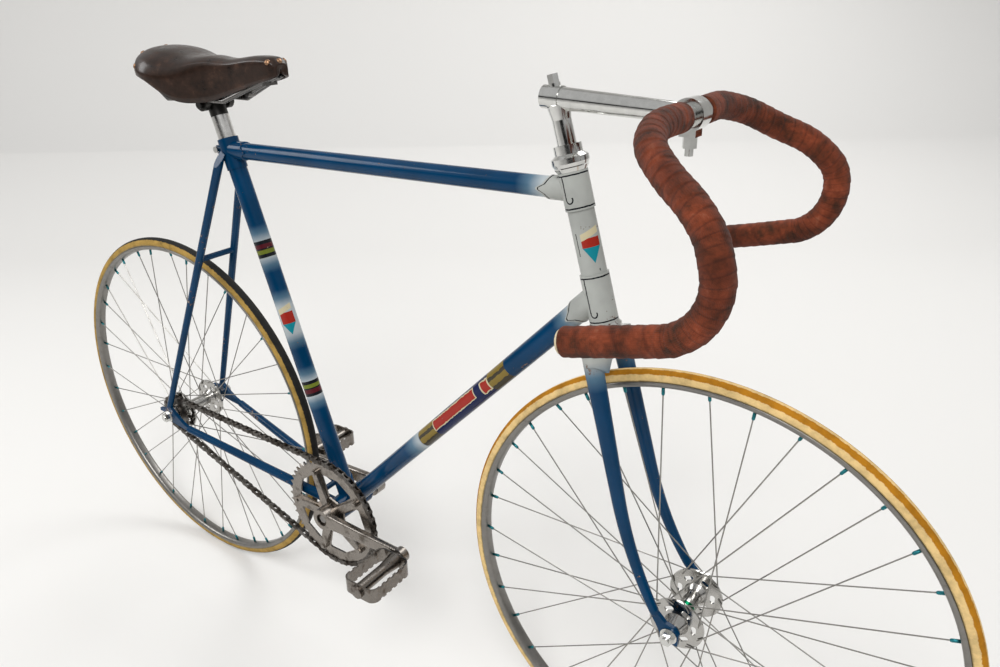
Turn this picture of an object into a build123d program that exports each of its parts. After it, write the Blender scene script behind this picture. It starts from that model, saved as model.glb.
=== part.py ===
"""Track racing bicycle with a lugged steel frame, drop bars, a fixed gear and a leather saddle.

Millimetres. X points forward, Y to the rider's left and Z up. The origin is on top of the saddle,
where the rider sits. Lengths are first given from the rear axle and then moved to that origin.
"""
from math import asin, atan2, cos, hypot, pi, radians, sin, sqrt
import os

from build123d import *

os.makedirs("parts", exist_ok=True)

# Wheels
tyre_radius = 335.0
tyre_width = 22.0
rim_depth = 9.0
spoke_diameter = 1.8
spokes_per_flange = 18
spoke_crosses = 3
flange_radius = 36.0
flange_thickness = 3.0
hub_barrel_radius = 11.0
axle_radius = 4.75
running_gap = 0.45

# Frame, seen from the side
wheelbase = 1018.0
fork_rake = 31.6
head_angle = 74.6
seat_angle = 72.7
bottom_bracket_forward = 408.0
bottom_bracket_drop = 71.0
seat_tube_length = 633.0
top_tube_below_lug = 18.0
fork_length = 383.0
head_tube_length = 181.0
top_joint_inset = 22.0
down_joint_inset = 33.0

# Tubes
head_tube_diameter = 31.8
head_tube_bore = 27.0
steerer_diameter = 25.4
seat_tube_diameter = 28.6
down_tube_diameter = 28.6
top_tube_diameter = 25.4
seat_post_diameter = 27.0
lug_wall = 1.8
seat_stay_diameter = 14.0
seat_stay_tip_diameter = 11.0
chain_stay_diameter = 18.0
chain_stay_tip_diameter = 13.0
shell_diameter = 40.0
shell_width = 68.0

# Rear end and fork ends
rear_spacing = 114.0
front_spacing = 104.0
dropout_thickness = 6.0
blade_length_across = 26.0
blade_width_across = 20.0
blade_tip_diameter = 12.0
blade_set_back = 5.0
blade_bend = 180.0
crown_half_width = 36.0
crown_height = 24.0
crown_margin = 3.0
crown_shoulder = 7.0
crown_tang = 40.0

# Headset, stem and bars
lower_stack = 13.0
upper_stack = 30.0
quill_diameter = 22.2
quill_rise = 52.0
stem_reach = 158.0
stem_drop = 7.0
stem_root_diameter = 26.0
stem_end_diameter = 21.0
bar_diameter = 25.4
tape_diameter = 30.5
bar_half_width = 198.0
hook_radius = 61.0
bar_clamp_width = 24.0

# Saddle
post_exposed = 57.0
saddle_above_clamp = 68.0
rail_diameter = 7.0
rail_spacing = 44.0
leather = 4.5

# Drive
chainring_teeth = 48
sprocket_teeth = 16
chain_pitch = 12.7
chain_line = 45.0
ring_thickness = 3.2
chain_inner_half = ring_thickness / 2 + running_gap
plate_thickness = 1.1
plate_height = 8.4
crank_length = 170.0
crank_inner = 57.0
crank_thickness = 12.0
spindle_diameter = 17.0
pedal_length = 85.0
pedal_width = 62.0
pedal_height = 24.0

# The seat tube's line gives the seat cluster, and with it the saddle and the origin.
seat_cos, seat_sin = cos(radians(seat_angle)), sin(radians(seat_angle))
head_cos, head_sin = cos(radians(head_angle)), sin(radians(head_angle))
clamp_x = bottom_bracket_forward - (seat_tube_length + post_exposed) * seat_cos
clamp_z = -bottom_bracket_drop + (seat_tube_length + post_exposed) * seat_sin
mount_x = clamp_x - 20.0
mount_z = clamp_z + saddle_above_clamp


def at(x, z, y=0.0):
    """Point given forward and up from the rear axle, moved to the origin on the saddle."""
    return Vector(x - mount_x, y, z - mount_z)


def seat_at(along, y=0.0):
    """Point on the seat tube's axis, that far up from the bottom bracket."""
    return at(bottom_bracket_forward - along * seat_cos, -bottom_bracket_drop + along * seat_sin, y)


def steer_at(along, ahead=0.0, y=0.0):
    """Point of the steered parts: along the steering axis from beside the hub, and ahead of it."""
    foot_x = wheelbase - fork_rake * head_sin
    foot_z = -fork_rake * head_cos
    return at(foot_x - along * head_cos + ahead * head_sin, foot_z + along * head_sin + ahead * head_cos, y)


def facing(start, end):
    """Plane at start whose normal looks along the line to end."""
    return Plane(origin=start, z_dir=end - start)


def side(point):
    """Plane through a point, seen from the drive side: local X forward, local Y up, normal to -Y."""
    return Plane(origin=point, x_dir=(1, 0, 0), z_dir=(0, -1, 0))


def across(point):
    """Plane through a point, seen from the front: local X to the left side, local Y up."""
    return Plane(origin=point, x_dir=(0, 1, 0), z_dir=(1, 0, 0))


on_base = (Align.CENTER, Align.CENTER, Align.MIN)


def rod(start, end, diameter, mode=Mode.ADD):
    """Straight round bar between two points."""
    with Locations(facing(start, end)):
        Cylinder(diameter / 2, (end - start).length, align=on_base, mode=mode)


def taper(start, end, first, last, mode=Mode.ADD):
    """Straight tapered bar between two points, with its two diameters."""
    with Locations(facing(start, end)):
        Cone(first / 2, last / 2, (end - start).length, align=on_base, mode=mode)


def cross_rod(point, low, high, diameter, mode=Mode.ADD):
    """Round bar along Y through a point, between two Y values."""
    rod(Vector(point.X, low, point.Z), Vector(point.X, high, point.Z), diameter, mode)


rear_axle_point = at(0, 0)
front_axle_point = at(wheelbase, 0)
bottom_bracket = at(bottom_bracket_forward, -bottom_bracket_drop)

head_bottom = fork_length + lower_stack
head_top = head_bottom + head_tube_length
top_tube_seat = seat_at(seat_tube_length - top_tube_below_lug)
top_tube_head = steer_at(head_top - top_joint_inset)
down_tube_head = steer_at(head_bottom + down_joint_inset)

# Head tube with its bore for the steerer
with BuildPart() as head_tube:
    rod(steer_at(head_bottom), steer_at(head_top), head_tube_diameter)
    rod(steer_at(head_bottom - 1), steer_at(head_top + 1), head_tube_bore, Mode.SUBTRACT)
head_tube.part.label = "head_tube"
export_step(head_tube.part, "parts/head_tube.step")

# Top tube, mitred against the seat tube and the head tube
with BuildPart() as top_tube:
    rod(top_tube_seat, top_tube_head, top_tube_diameter)
    rod(seat_at(400), seat_at(seat_tube_length + 20), seat_tube_diameter, Mode.SUBTRACT)
    rod(steer_at(head_bottom), steer_at(head_top), head_tube_diameter, Mode.SUBTRACT)
top_tube.part.label = "top_tube"
export_step(top_tube.part, "parts/top_tube.step")

# Down tube, mitred against the bottom bracket shell and the head tube
with BuildPart() as down_tube:
    rod(bottom_bracket, down_tube_head, down_tube_diameter)
    cross_rod(bottom_bracket, -shell_width / 2, shell_width / 2, shell_diameter, Mode.SUBTRACT)
    rod(seat_at(0), seat_at(120), seat_tube_diameter, Mode.SUBTRACT)
    rod(steer_at(head_bottom), steer_at(head_top), head_tube_diameter, Mode.SUBTRACT)
down_tube.part.label = "down_tube"
export_step(down_tube.part, "parts/down_tube.step")

# Seat tube, open at its top for the seat post
with BuildPart() as seat_tube:
    rod(seat_at(0), seat_at(seat_tube_length - 2), seat_tube_diameter)
    cross_rod(bottom_bracket, -shell_width / 2, shell_width / 2, shell_diameter, Mode.SUBTRACT)
    rod(seat_at(seat_tube_length - 72), seat_at(seat_tube_length), seat_post_diameter, Mode.SUBTRACT)
seat_tube.part.label = "seat_tube"
export_step(seat_tube.part, "parts/seat_tube.step")

# Lugs: a sleeve on the upright tube, and a pointed socket on the tube that joins it
lug_reach = 33.0
lug_point = 14.0
lug_tip = 2.4
lower_lug_length = down_joint_inset + 27
seat_lug_length = 48.0


def socket(start, towards, reach, diameter):
    """Lug socket around a tube, drawn out to a point on both sides."""
    run = (towards - start).normalized()
    radius = diameter / 2 + lug_wall
    rod(start, start + run * (reach + lug_point), 2 * radius)
    with BuildSketch(Plane(origin=start, x_dir=run, z_dir=(0, -1, 0))) as waste:
        for up in (-1, 1):
            Polygon(
                (reach, up * (radius + 1)), (reach, up * radius),
                (reach + 0.4 * lug_point, up * 0.4 * radius), (reach + lug_point, up * lug_tip / 2),
                (reach + lug_point + 1, up * lug_tip / 2), (reach + lug_point + 1, up * (radius + 1)),
                align=None,
            )
    extrude(waste.sketch, amount=radius + 1, both=True, mode=Mode.SUBTRACT)


with BuildPart() as upper_head_lug:
    rod(steer_at(head_top - 2 * top_joint_inset), steer_at(head_top), head_tube_diameter + 2 * lug_wall)
    socket(top_tube_head, top_tube_seat, lug_reach, top_tube_diameter)
    rod(top_tube_head, top_tube_seat, top_tube_diameter, Mode.SUBTRACT)
    rod(steer_at(head_bottom), steer_at(head_top + 1), head_tube_diameter, Mode.SUBTRACT)
upper_head_lug.part.label = "upper_head_lug"
export_step(upper_head_lug.part, "parts/upper_head_lug.step")

with BuildPart() as lower_head_lug:
    rod(steer_at(head_bottom), steer_at(head_bottom + lower_lug_length), head_tube_diameter + 2 * lug_wall)
    socket(down_tube_head, bottom_bracket, lug_reach + 4, down_tube_diameter)
    rod(down_tube_head, bottom_bracket, down_tube_diameter, Mode.SUBTRACT)
    rod(steer_at(head_bottom), steer_at(head_top), head_tube_diameter, Mode.SUBTRACT)
lower_head_lug.part.label = "lower_head_lug"
export_step(lower_head_lug.part, "parts/lower_head_lug.step")

seat_back = Vector(-seat_sin, 0, -seat_cos)
binder = seat_at(seat_tube_length - 12) + seat_back * 18
binder_half = 11.0
binder_diameter = 6.2
seat_lug_diameter = seat_tube_diameter + 2 * lug_wall
with BuildPart() as seat_lug:
    rod(seat_at(seat_tube_length - seat_lug_length), seat_at(seat_tube_length), seat_lug_diameter)
    socket(top_tube_seat, top_tube_head, lug_reach, top_tube_diameter)
    cross_rod(binder, -binder_half, binder_half, 13)
    rod(top_tube_seat, top_tube_head, top_tube_diameter, Mode.SUBTRACT)
    rod(seat_at(400), seat_at(seat_tube_length + 1), seat_tube_diameter, Mode.SUBTRACT)
    cross_rod(binder, -binder_half - 1, binder_half + 1, binder_diameter + 0.4, Mode.SUBTRACT)
seat_lug.part.label = "seat_lug"
export_step(seat_lug.part, "parts/seat_lug.step")

with BuildPart() as seat_binder_bolt:
    cross_rod(binder, -binder_half, binder_half, binder_diameter)
    cross_rod(binder, -binder_half - 5, -binder_half, 10)
    cross_rod(binder, binder_half, binder_half + 6, 10)
seat_binder_bolt.part.label = "seat_binder_bolt"
export_step(seat_binder_bolt.part, "parts/seat_binder_bolt.step")

# Bottom bracket shell with sockets for the seat tube and the down tube, and the rims of its two cups
shell_reach = 38.0
cup_rim = 3.0
with BuildPart() as bottom_bracket_shell:
    socket(bottom_bracket, seat_at(seat_tube_length), shell_reach, seat_tube_diameter)
    socket(bottom_bracket, down_tube_head, shell_reach, down_tube_diameter)
    rod(bottom_bracket, seat_at(seat_tube_length), seat_tube_diameter, Mode.SUBTRACT)
    rod(bottom_bracket, down_tube_head, down_tube_diameter, Mode.SUBTRACT)
    cross_rod(bottom_bracket, -shell_width / 2, shell_width / 2, shell_diameter)
    cross_rod(bottom_bracket, -shell_width / 2 - cup_rim, shell_width / 2 + cup_rim, shell_diameter - 4)
    cross_rod(bottom_bracket, -shell_width, shell_width, spindle_diameter + 2 * running_gap, Mode.SUBTRACT)
bottom_bracket_shell.part.label = "bottom_bracket_shell"
export_step(bottom_bracket_shell.part, "parts/bottom_bracket_shell.step")

# Rear end: track ends with slots open to the rear, and the two pairs of stays
rear_plate = rear_spacing / 2 + dropout_thickness / 2
stay_top_y = seat_tube_diameter / 2 + lug_wall + seat_stay_diameter / 2 - 2.5
stay_root_y = 20.0
stay_top_below_lug = 20.0
slot_width = 2 * axle_radius + 0.6


def seat_stay_ends(side_sign):
    """Top and foot of the axis of one seat stay."""
    return (
        seat_at(seat_tube_length - stay_top_below_lug, side_sign * stay_top_y),
        at(4, 22, side_sign * rear_plate),
    )


def chain_stay_ends(side_sign):
    """Root and foot of the axis of one chain stay."""
    return (
        at(bottom_bracket_forward - 14, -bottom_bracket_drop, side_sign * stay_root_y),
        at(54, -13, side_sign * rear_plate),
    )


def seat_stay_bars(mode=Mode.ADD):
    """Both seat stays, tapered to their feet."""
    for side_sign in (-1, 1):
        taper(*seat_stay_ends(side_sign), seat_stay_diameter, seat_stay_tip_diameter, mode)


def chain_stay_bars(mode=Mode.ADD):
    """Both chain stays, tapered to their feet."""
    for side_sign in (-1, 1):
        taper(*chain_stay_ends(side_sign), chain_stay_diameter, chain_stay_tip_diameter, mode)


def track_ends(mode=Mode.ADD):
    """Both track ends: a tongue in each stay, and a slot for the axle."""
    for side_sign in (-1, 1):
        with BuildSketch(side(rear_axle_point + Vector(0, side_sign * rear_plate, 0))) as plate:
            Polygon(
                (-26, -11), (-26, 11), (-8, 12), (0.6, 23.5), (6.4, 36.5), (11.6, 39), (13.2, 33.4),
                (7.4, 20.5), (20, 9), (40, -4), (54.6, -9.3), (68.4, -11.7), (67.2, -19.1), (53.4, -16.7),
                (34, -15), (10, -12), align=None,
            )
            with Locations((-14, 0)):
                SlotOverall(46, slot_width, mode=Mode.SUBTRACT)
            with Locations((-28, 0)):
                Rectangle(28, slot_width, mode=Mode.SUBTRACT)
        extrude(plate.sketch, amount=dropout_thickness / 2, both=True, mode=mode)


with BuildPart() as rear_dropouts:
    track_ends()
rear_dropouts.part.label = "rear_dropouts"
export_step(rear_dropouts.part, "parts/rear_dropouts.step")

stay_cap_length = 24.0
stay_cap_inner = 4.0
with BuildPart() as seat_stays:
    seat_stay_bars()
    for side_sign in (-1, 1):
        with BuildSketch(across(seat_stay_ends(side_sign)[0])):
            Polygon(
                (-side_sign * stay_cap_inner, 2),
                (side_sign * (seat_stay_diameter / 2 + 1), 2 - stay_cap_length),
                (side_sign * seat_stay_diameter, 2 - stay_cap_length),
                (side_sign * seat_stay_diameter, stay_cap_length),
                (-side_sign * stay_cap_inner, stay_cap_length), align=None,
            )
        extrude(amount=stay_cap_length, both=True, mode=Mode.SUBTRACT)
    rod(seat_at(400), seat_at(seat_tube_length + 20), seat_lug_diameter, Mode.SUBTRACT)
    track_ends(Mode.SUBTRACT)
seat_stays.part.label = "seat_stays"
export_step(seat_stays.part, "parts/seat_stays.step")

with BuildPart() as chain_stays:
    chain_stay_bars()
    cross_rod(bottom_bracket, -shell_width / 2, shell_width / 2, shell_diameter, Mode.SUBTRACT)
    track_ends(Mode.SUBTRACT)
chain_stays.part.label = "chain_stays"
export_step(chain_stays.part, "parts/chain_stays.step")

bridge_up = tyre_radius - 4.0
bridge_diameter = 10.0
with BuildPart() as brake_bridge:
    top, foot = seat_stay_ends(1)
    middle = foot + (top - foot) * ((at(0, bridge_up).Z - foot.Z) / (top.Z - foot.Z))
    cross_rod(middle, -middle.Y, middle.Y, bridge_diameter)
    seat_stay_bars(Mode.SUBTRACT)
brake_bridge.part.label = "brake_bridge"
export_step(brake_bridge.part, "parts/brake_bridge.step")

with BuildPart() as chain_stay_bridge:
    bridge = at(bottom_bracket_forward - 54, -bottom_bracket_drop + 7)
    cross_rod(bridge, -stay_root_y, stay_root_y, bridge_diameter)
    chain_stay_bars(Mode.SUBTRACT)
chain_stay_bridge.part.label = "chain_stay_bridge"
export_step(chain_stay_bridge.part, "parts/chain_stay_bridge.step")

# Headset: cups pressed in the head tube, and races that turn with the fork
cup_diameter = 41.0
race_diameter = 44.0
locknut_diameter = 33.0
crown_race_diameter = 34.0
with BuildPart() as headset_cups:
    taper(steer_at(head_top), steer_at(head_top + 5), head_tube_diameter + 3, cup_diameter)
    taper(steer_at(head_bottom), steer_at(head_bottom - 4), head_tube_diameter + 3, cup_diameter)
    rod(steer_at(head_bottom - 8), steer_at(head_bottom - 4), cup_diameter)
    rod(steer_at(head_bottom - 9), steer_at(head_top + 6), head_tube_bore + 2, Mode.SUBTRACT)
headset_cups.part.label = "headset_cups"
export_step(headset_cups.part, "parts/headset_cups.step")

with BuildPart() as fork_steerer:
    rod(steer_at(fork_length - crown_height + 2), steer_at(head_top + upper_stack - 4), steerer_diameter)
    rod(steer_at(head_bottom + 60), steer_at(head_top + upper_stack), quill_diameter, Mode.SUBTRACT)
fork_steerer.part.label = "fork_steerer"
export_step(fork_steerer.part, "parts/fork_steerer.step")

with BuildPart() as headset_races:
    taper(steer_at(head_top + 6), steer_at(head_top + 10), cup_diameter - 1, race_diameter)
    rod(steer_at(head_top + 10), steer_at(head_top + 16), race_diameter)
    taper(steer_at(head_top + 16), steer_at(head_top + 20), race_diameter, locknut_diameter)
    rod(steer_at(head_top + 20), steer_at(head_top + upper_stack), locknut_diameter)
    rod(steer_at(fork_length), steer_at(fork_length + 4), crown_race_diameter)
    rod(steer_at(fork_length - 2), steer_at(head_top + upper_stack + 2), steerer_diameter, Mode.SUBTRACT)
headset_races.part.label = "headset_races"
export_step(headset_races.part, "parts/headset_races.step")

# Fork: sloping lugged crown, oval blades that turn round and bend forward to the fork ends
front_plate = front_spacing / 2 + dropout_thickness / 2
blade_top = fork_length - crown_shoulder - 1
blade_foot = 22.0
blade_sweep = 31.0
blade_shares = [0.0, 0.56, 0.68, 0.8, 0.9, 1.0]
blade_sides = 14


def blade_centre(share, side_sign):
    """Point on a blade's centre line, with share 0 at its crown and 1 at its tip."""
    along = blade_top + (blade_foot - blade_top) * share
    bend = max(0.0, (blade_bend - along) / blade_bend)
    spread = crown_half_width + (front_plate - crown_half_width) * share
    return steer_at(along, blade_sweep * bend ** 2 - blade_set_back, side_sign * spread)


def blade_section(share, side_sign):
    """Oval section of a blade, square to its centre line."""
    run = blade_centre(min(1, share + 0.02), side_sign) - blade_centre(max(0, share - 0.02), side_sign)
    half_width = (blade_width_across + (blade_tip_diameter - blade_width_across) * share) / 2
    half_length = (blade_length_across + (blade_tip_diameter - blade_length_across) * share) / 2
    turns = [2 * pi * corner / blade_sides for corner in range(blade_sides)]
    with BuildSketch(Plane(origin=blade_centre(share, side_sign), x_dir=(0, 1, 0), z_dir=run)) as oval:
        Polygon(*[(half_width * cos(turn), half_length * sin(turn)) for turn in turns], align=None)
    return oval.sketch.face()


def fork_plates(mode=Mode.ADD):
    """Both fork ends: a tongue in each blade, and a slot open downwards for the axle."""
    for side_sign in (-1, 1):
        with BuildSketch(side(front_axle_point + Vector(0, side_sign * front_plate, 0))) as plate:
            Polygon(
                (-27.8, 24.7), (-20.2, 29.5), (-6, 16), (6, 13), (12, 5), (12, -12), (-11, -12),
                (-13, 0), (-18, 9.5), align=None,
            )
            with Locations((0, -8)):
                SlotOverall(26, slot_width, rotation=90, mode=Mode.SUBTRACT)
        extrude(plate.sketch, amount=dropout_thickness / 2, both=True, mode=mode)


with BuildPart() as fork_blades:
    for side_sign in (-1, 1):
        loft([blade_section(share, side_sign) for share in blade_shares], ruled=True)
    fork_plates(Mode.SUBTRACT)
fork_blades.part.label = "fork_blades"
export_step(fork_blades.part, "parts/fork_blades.step")

crown_end = crown_half_width + blade_width_across / 2 + crown_margin
crown_depth = blade_length_across + 2 * crown_margin
crown_inner = crown_half_width - blade_width_across / 2 - crown_margin
crown_ahead = -blade_set_back / 2
tang_root = 12 - crown_tang
crown_flat = 20.0
crown_arch = 22.0
with BuildPart() as fork_crown:
    front_view = Plane(origin=steer_at(fork_length), x_dir=(0, 1, 0), z_dir=steer_at(0, 1) - steer_at(0))
    with BuildSketch(front_view):
        Polygon(
            (-crown_flat, 0), (crown_flat, 0), (crown_end, -crown_shoulder), (crown_end, tang_root),
            (crown_half_width, -crown_tang), (crown_inner, tang_root), (-crown_inner, tang_root),
            (-crown_half_width, -crown_tang), (-crown_end, tang_root), (-crown_end, -crown_shoulder),
            align=None,
        )
        with Locations((0, -crown_height - crown_arch)):
            Circle(crown_arch, mode=Mode.SUBTRACT)
    extrude(amount=crown_depth, both=True)
    down_steerer = steer_at(0) - steer_at(1)
    plan_view = Plane(origin=steer_at(fork_length, crown_ahead), x_dir=(0, 1, 0), z_dir=down_steerer)
    with BuildSketch(plan_view):
        SlotOverall(2 * crown_end, crown_depth)
    extrude(amount=crown_tang, mode=Mode.INTERSECT)
    rod(steer_at(fork_length - crown_height - 2), steer_at(fork_length + 2), steerer_diameter, Mode.SUBTRACT)
    add(fork_blades.part, mode=Mode.SUBTRACT)
fork_crown.part.label = "fork_crown"
export_step(fork_crown.part, "parts/fork_crown.step")

with BuildPart() as fork_tips:
    fork_plates()
fork_tips.part.label = "fork_tips"
export_step(fork_tips.part, "parts/fork_tips.step")

# Stem: quill in the steerer, extension that slopes down a little, and a clamp around the bar
quill_top = head_top + upper_stack + quill_rise
quill_knee = steer_at(quill_top)
bar_centre = quill_knee + Vector(stem_reach, 0, -stem_drop)
stem_run = (bar_centre - quill_knee).normalized()
stem_heel = 17.0
stem_boss = 16.0
stem_boss_diameter = 14.0
stem_ring_half = 6.5
stem_neck_diameter = 27.0
stem_neck_length = 24.0
clamp_wall = 4.5
clamp_ear = 22.0
clamp_nut = 12.0
clamp_tip = 8.0
with BuildPart() as stem:
    rod(steer_at(head_bottom + 60), steer_at(quill_top), quill_diameter)
    taper(steer_at(quill_top - stem_neck_length), steer_at(quill_top - 8), quill_diameter, stem_neck_diameter)
    rod(quill_knee, steer_at(quill_top + stem_boss), stem_boss_diameter)
    taper(quill_knee - stem_run * stem_heel, bar_centre, stem_root_diameter, stem_end_diameter)
    ring_end = quill_knee + stem_run * stem_ring_half
    rod(quill_knee - stem_run * stem_ring_half, ring_end, stem_root_diameter + 2)
    cross_rod(bar_centre, -bar_clamp_width / 2, bar_clamp_width / 2, bar_diameter + 2 * clamp_wall)
    with Locations(bar_centre - Vector(0, 0, clamp_ear / 2)):
        Box(18, bar_clamp_width - 6, clamp_ear)
    with BuildSketch(facing(bar_centre - Vector(0, 0, clamp_ear), bar_centre - Vector(0, 0, 2 * clamp_ear))):
        RegularPolygon(8, 6)
    extrude(amount=clamp_nut)
    tip_start = bar_centre - Vector(0, 0, clamp_ear + clamp_nut)
    rod(tip_start, tip_start - Vector(0, 0, clamp_tip), 9)
    cross_rod(bar_centre, -bar_clamp_width, bar_clamp_width, bar_diameter, Mode.SUBTRACT)
stem.part.label = "stem"
export_step(stem.part, "parts/stem.step")

with BuildPart() as expander_bolt:
    with BuildSketch(facing(steer_at(quill_top + stem_boss), steer_at(quill_top + 2 * stem_boss))):
        RegularPolygon(7, 6)
    extrude(amount=10)
expander_bolt.part.label = "expander_bolt"
export_step(expander_bolt.part, "parts/expander_bolt.step")

# Handlebar: bare centre, then the taped bend and drop on each side
tape_start = 30.0
with BuildPart() as handlebar:
    cross_rod(bar_centre, -tape_start, tape_start, bar_diameter)
handlebar.part.label = "handlebar"
export_step(handlebar.part, "parts/handlebar.step")

# Centre line of one side, from the bar's middle
# columns: ahead, out, below
bend_points = [
    (0.0, tape_start, 0.0),
    (0.0, 75.0, 0.0),
    (4.0, 104.0, 4.0),
    (17.0, 134.0, 13.0),
    (43.0, 157.0, 29.0),
    (73.0, 176.0, 45.0),
    (95.0, bar_half_width - 9.0, 64.0),
]
hook_ahead = 48.5
hook_below = 103.0
hook_points = [
    (
        hook_ahead + hook_radius * cos(radians(turn)),
        bar_half_width,
        hook_below - hook_radius * sin(radians(turn)),
    )
    for turn in (20, 0, -20, -40, -60, -80)
]
drop_end = (-30.0, bar_half_width, 185.0)
bar_route = [*bend_points, *hook_points, drop_end]


def tape_side(side_sign):
    """Taped half of the bar as a run of short round sections."""
    centres = [bar_centre + Vector(ahead, side_sign * out, -below) for ahead, out, below in bar_route]
    sections = []
    for step, centre in enumerate(centres):
        before = centres[max(0, step - 1)]
        after = centres[min(len(centres) - 1, step + 1)]
        run = after - before if step else Vector(0, side_sign, 0)
        with BuildSketch(Plane(origin=centre, x_dir=run.cross(Vector(0, -0.3, 1)), z_dir=run)) as section:
            RegularPolygon(tape_diameter / 2, 12)
        sections.append(section.sketch.face())
    loft(sections, ruled=True)


with BuildPart() as tape_right:
    tape_side(-1)
tape_right.part.label = "tape_right"
export_step(tape_right.part, "parts/tape_right.step")

with BuildPart() as tape_left:
    mirror(tape_right.part, about=Plane.XZ)
tape_left.part.label = "tape_left"
export_step(tape_left.part, "parts/tape_left.step")

with BuildPart() as bar_end_plugs:
    for side_sign in (-1, 1):
        last = bar_centre + Vector(bar_route[-1][0], side_sign * bar_half_width, -bar_route[-1][2])
        before = bar_centre + Vector(bar_route[-2][0], side_sign * bar_half_width, -bar_route[-2][2])
        away = (last - before).normalized()
        taper(last, last + away * 4, tape_diameter - 2, tape_diameter - 6)
bar_end_plugs.part.label = "bar_end_plugs"
export_step(bar_end_plugs.part, "parts/bar_end_plugs.step")

# Wheels: tyre, rim, spokes and hub, each by the same steps for front and rear
tyre_half = tyre_width / 2
tyre_crown_half = 5.5
tyre_shoulder = tyre_radius - 9.0
tyre_seat = tyre_radius - tyre_width
bed_edge = tyre_seat + 4.0
bed_half = 7.0
rim_half = 10.0
rim_inner = bed_edge - rim_depth


def tyre_section():
    """Tyre's cross section with a narrow tread, widest at its shoulder, and a seat in the rim."""
    Polygon(
        (-bed_half, tyre_seat), (bed_half, tyre_seat), (tyre_half, tyre_shoulder),
        (tyre_crown_half, tyre_radius), (-tyre_crown_half, tyre_radius), (-tyre_half, tyre_shoulder),
        align=None,
    )


def rim_section():
    """Rim's cross section, with a bed that the tyre's seat and walls lie in."""
    wall_slope = (tyre_half - bed_half) / (tyre_shoulder - tyre_seat)
    edge = bed_half + wall_slope * (bed_edge - tyre_seat)
    Polygon(
        (-edge, bed_edge), (-bed_half, tyre_seat), (bed_half, tyre_seat), (edge, bed_edge),
        (rim_half, bed_edge - 2), (rim_half - 2, rim_inner), (2 - rim_half, rim_inner),
        (-rim_half, bed_edge - 2), align=None,
    )


def spoke_set(axle, flange_y):
    """All spokes of a wheel: both flanges, crossing in pairs, cut off flush at the rim."""
    hole_radius = flange_radius - 5
    lift = flange_thickness / 2 + spoke_diameter / 2
    step = 360 / spokes_per_flange
    reach = rim_inner + 3
    for flange in (-1, 1):
        for number in range(spokes_per_flange):
            lead = 1 if number % 2 else -1
            hub_turn = radians(step * number + (step / 2 if flange > 0 else 0))
            rim_turn = hub_turn + lead * radians(spoke_crosses * step)
            aside = flange * (flange_y + lead * lift + (1.3 if lead > 0 else 0))
            start = axle + Vector(hole_radius * cos(hub_turn), aside, hole_radius * sin(hub_turn))
            end = axle + Vector(reach * cos(rim_turn), flange * 2.5, reach * sin(rim_turn))
            with BuildSketch(facing(start, end)) as section:
                RegularPolygon(spoke_diameter / 2, 6)
            extrude(section.sketch, amount=(end - start).length)
    cross_rod(axle, -60, 60, 2 * rim_inner, Mode.INTERSECT)


def hub_body(half_width, flange_y):
    """Half section of a high flange hub in the active sketch: local X along the axle."""
    flange_half = flange_thickness / 2
    bore = axle_radius + running_gap
    profile = [
        (0, hub_barrel_radius), (flange_y - 8, hub_barrel_radius), (flange_y - flange_half, 16),
        (flange_y - flange_half, flange_radius), (flange_y + flange_half, flange_radius),
        (flange_y + flange_half, 16), (flange_y + 10, 12), (half_width, 10), (half_width, bore),
    ]
    Polygon(*profile, *[(-aside, out) for aside, out in reversed(profile[1:])], align=None)


def flange_holes(axle, half_width):
    """Oval holes through both flanges of a hub."""
    with BuildSketch(side(axle)) as holes:
        with PolarLocations(22.5, 6):
            SlotOverall(13, 7, rotation=90)
    extrude(holes.sketch, amount=half_width, both=True, mode=Mode.SUBTRACT)


front_flange_y = 33.0
rear_flange_y = 31.0
front_hub_half = front_spacing / 2 - 5
rear_hub_half = rear_spacing / 2 - 5
sprocket_bore = 17.0

with BuildPart() as front_tyre:
    with BuildSketch(across(front_axle_point)):
        tyre_section()
    revolve(axis=Axis(front_axle_point, (0, 1, 0)))
front_tyre.part.label = "front_tyre"
export_step(front_tyre.part, "parts/front_tyre.step")

with BuildPart() as rear_tyre:
    with BuildSketch(across(rear_axle_point)):
        tyre_section()
    revolve(axis=Axis(rear_axle_point, (0, 1, 0)))
rear_tyre.part.label = "rear_tyre"
export_step(rear_tyre.part, "parts/rear_tyre.step")

with BuildPart() as front_rim:
    with BuildSketch(across(front_axle_point)):
        rim_section()
    revolve(axis=Axis(front_axle_point, (0, 1, 0)))
front_rim.part.label = "front_rim"
export_step(front_rim.part, "parts/front_rim.step")

with BuildPart() as rear_rim:
    with BuildSketch(across(rear_axle_point)):
        rim_section()
    revolve(axis=Axis(rear_axle_point, (0, 1, 0)))
rear_rim.part.label = "rear_rim"
export_step(rear_rim.part, "parts/rear_rim.step")

with BuildPart() as front_spokes:
    spoke_set(front_axle_point, front_flange_y)
front_spokes.part.label = "front_spokes"
export_step(front_spokes.part, "parts/front_spokes.step")

with BuildPart() as rear_spokes:
    spoke_set(rear_axle_point, rear_flange_y)
rear_spokes.part.label = "rear_spokes"
export_step(rear_spokes.part, "parts/rear_spokes.step")

with BuildPart() as front_hub:
    with BuildSketch(across(front_axle_point)):
        hub_body(front_hub_half, front_flange_y)
    revolve(axis=Axis(front_axle_point, (0, 1, 0)))
    flange_holes(front_axle_point, front_hub_half)
front_hub.part.label = "front_hub"
export_step(front_hub.part, "parts/front_hub.step")

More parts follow.
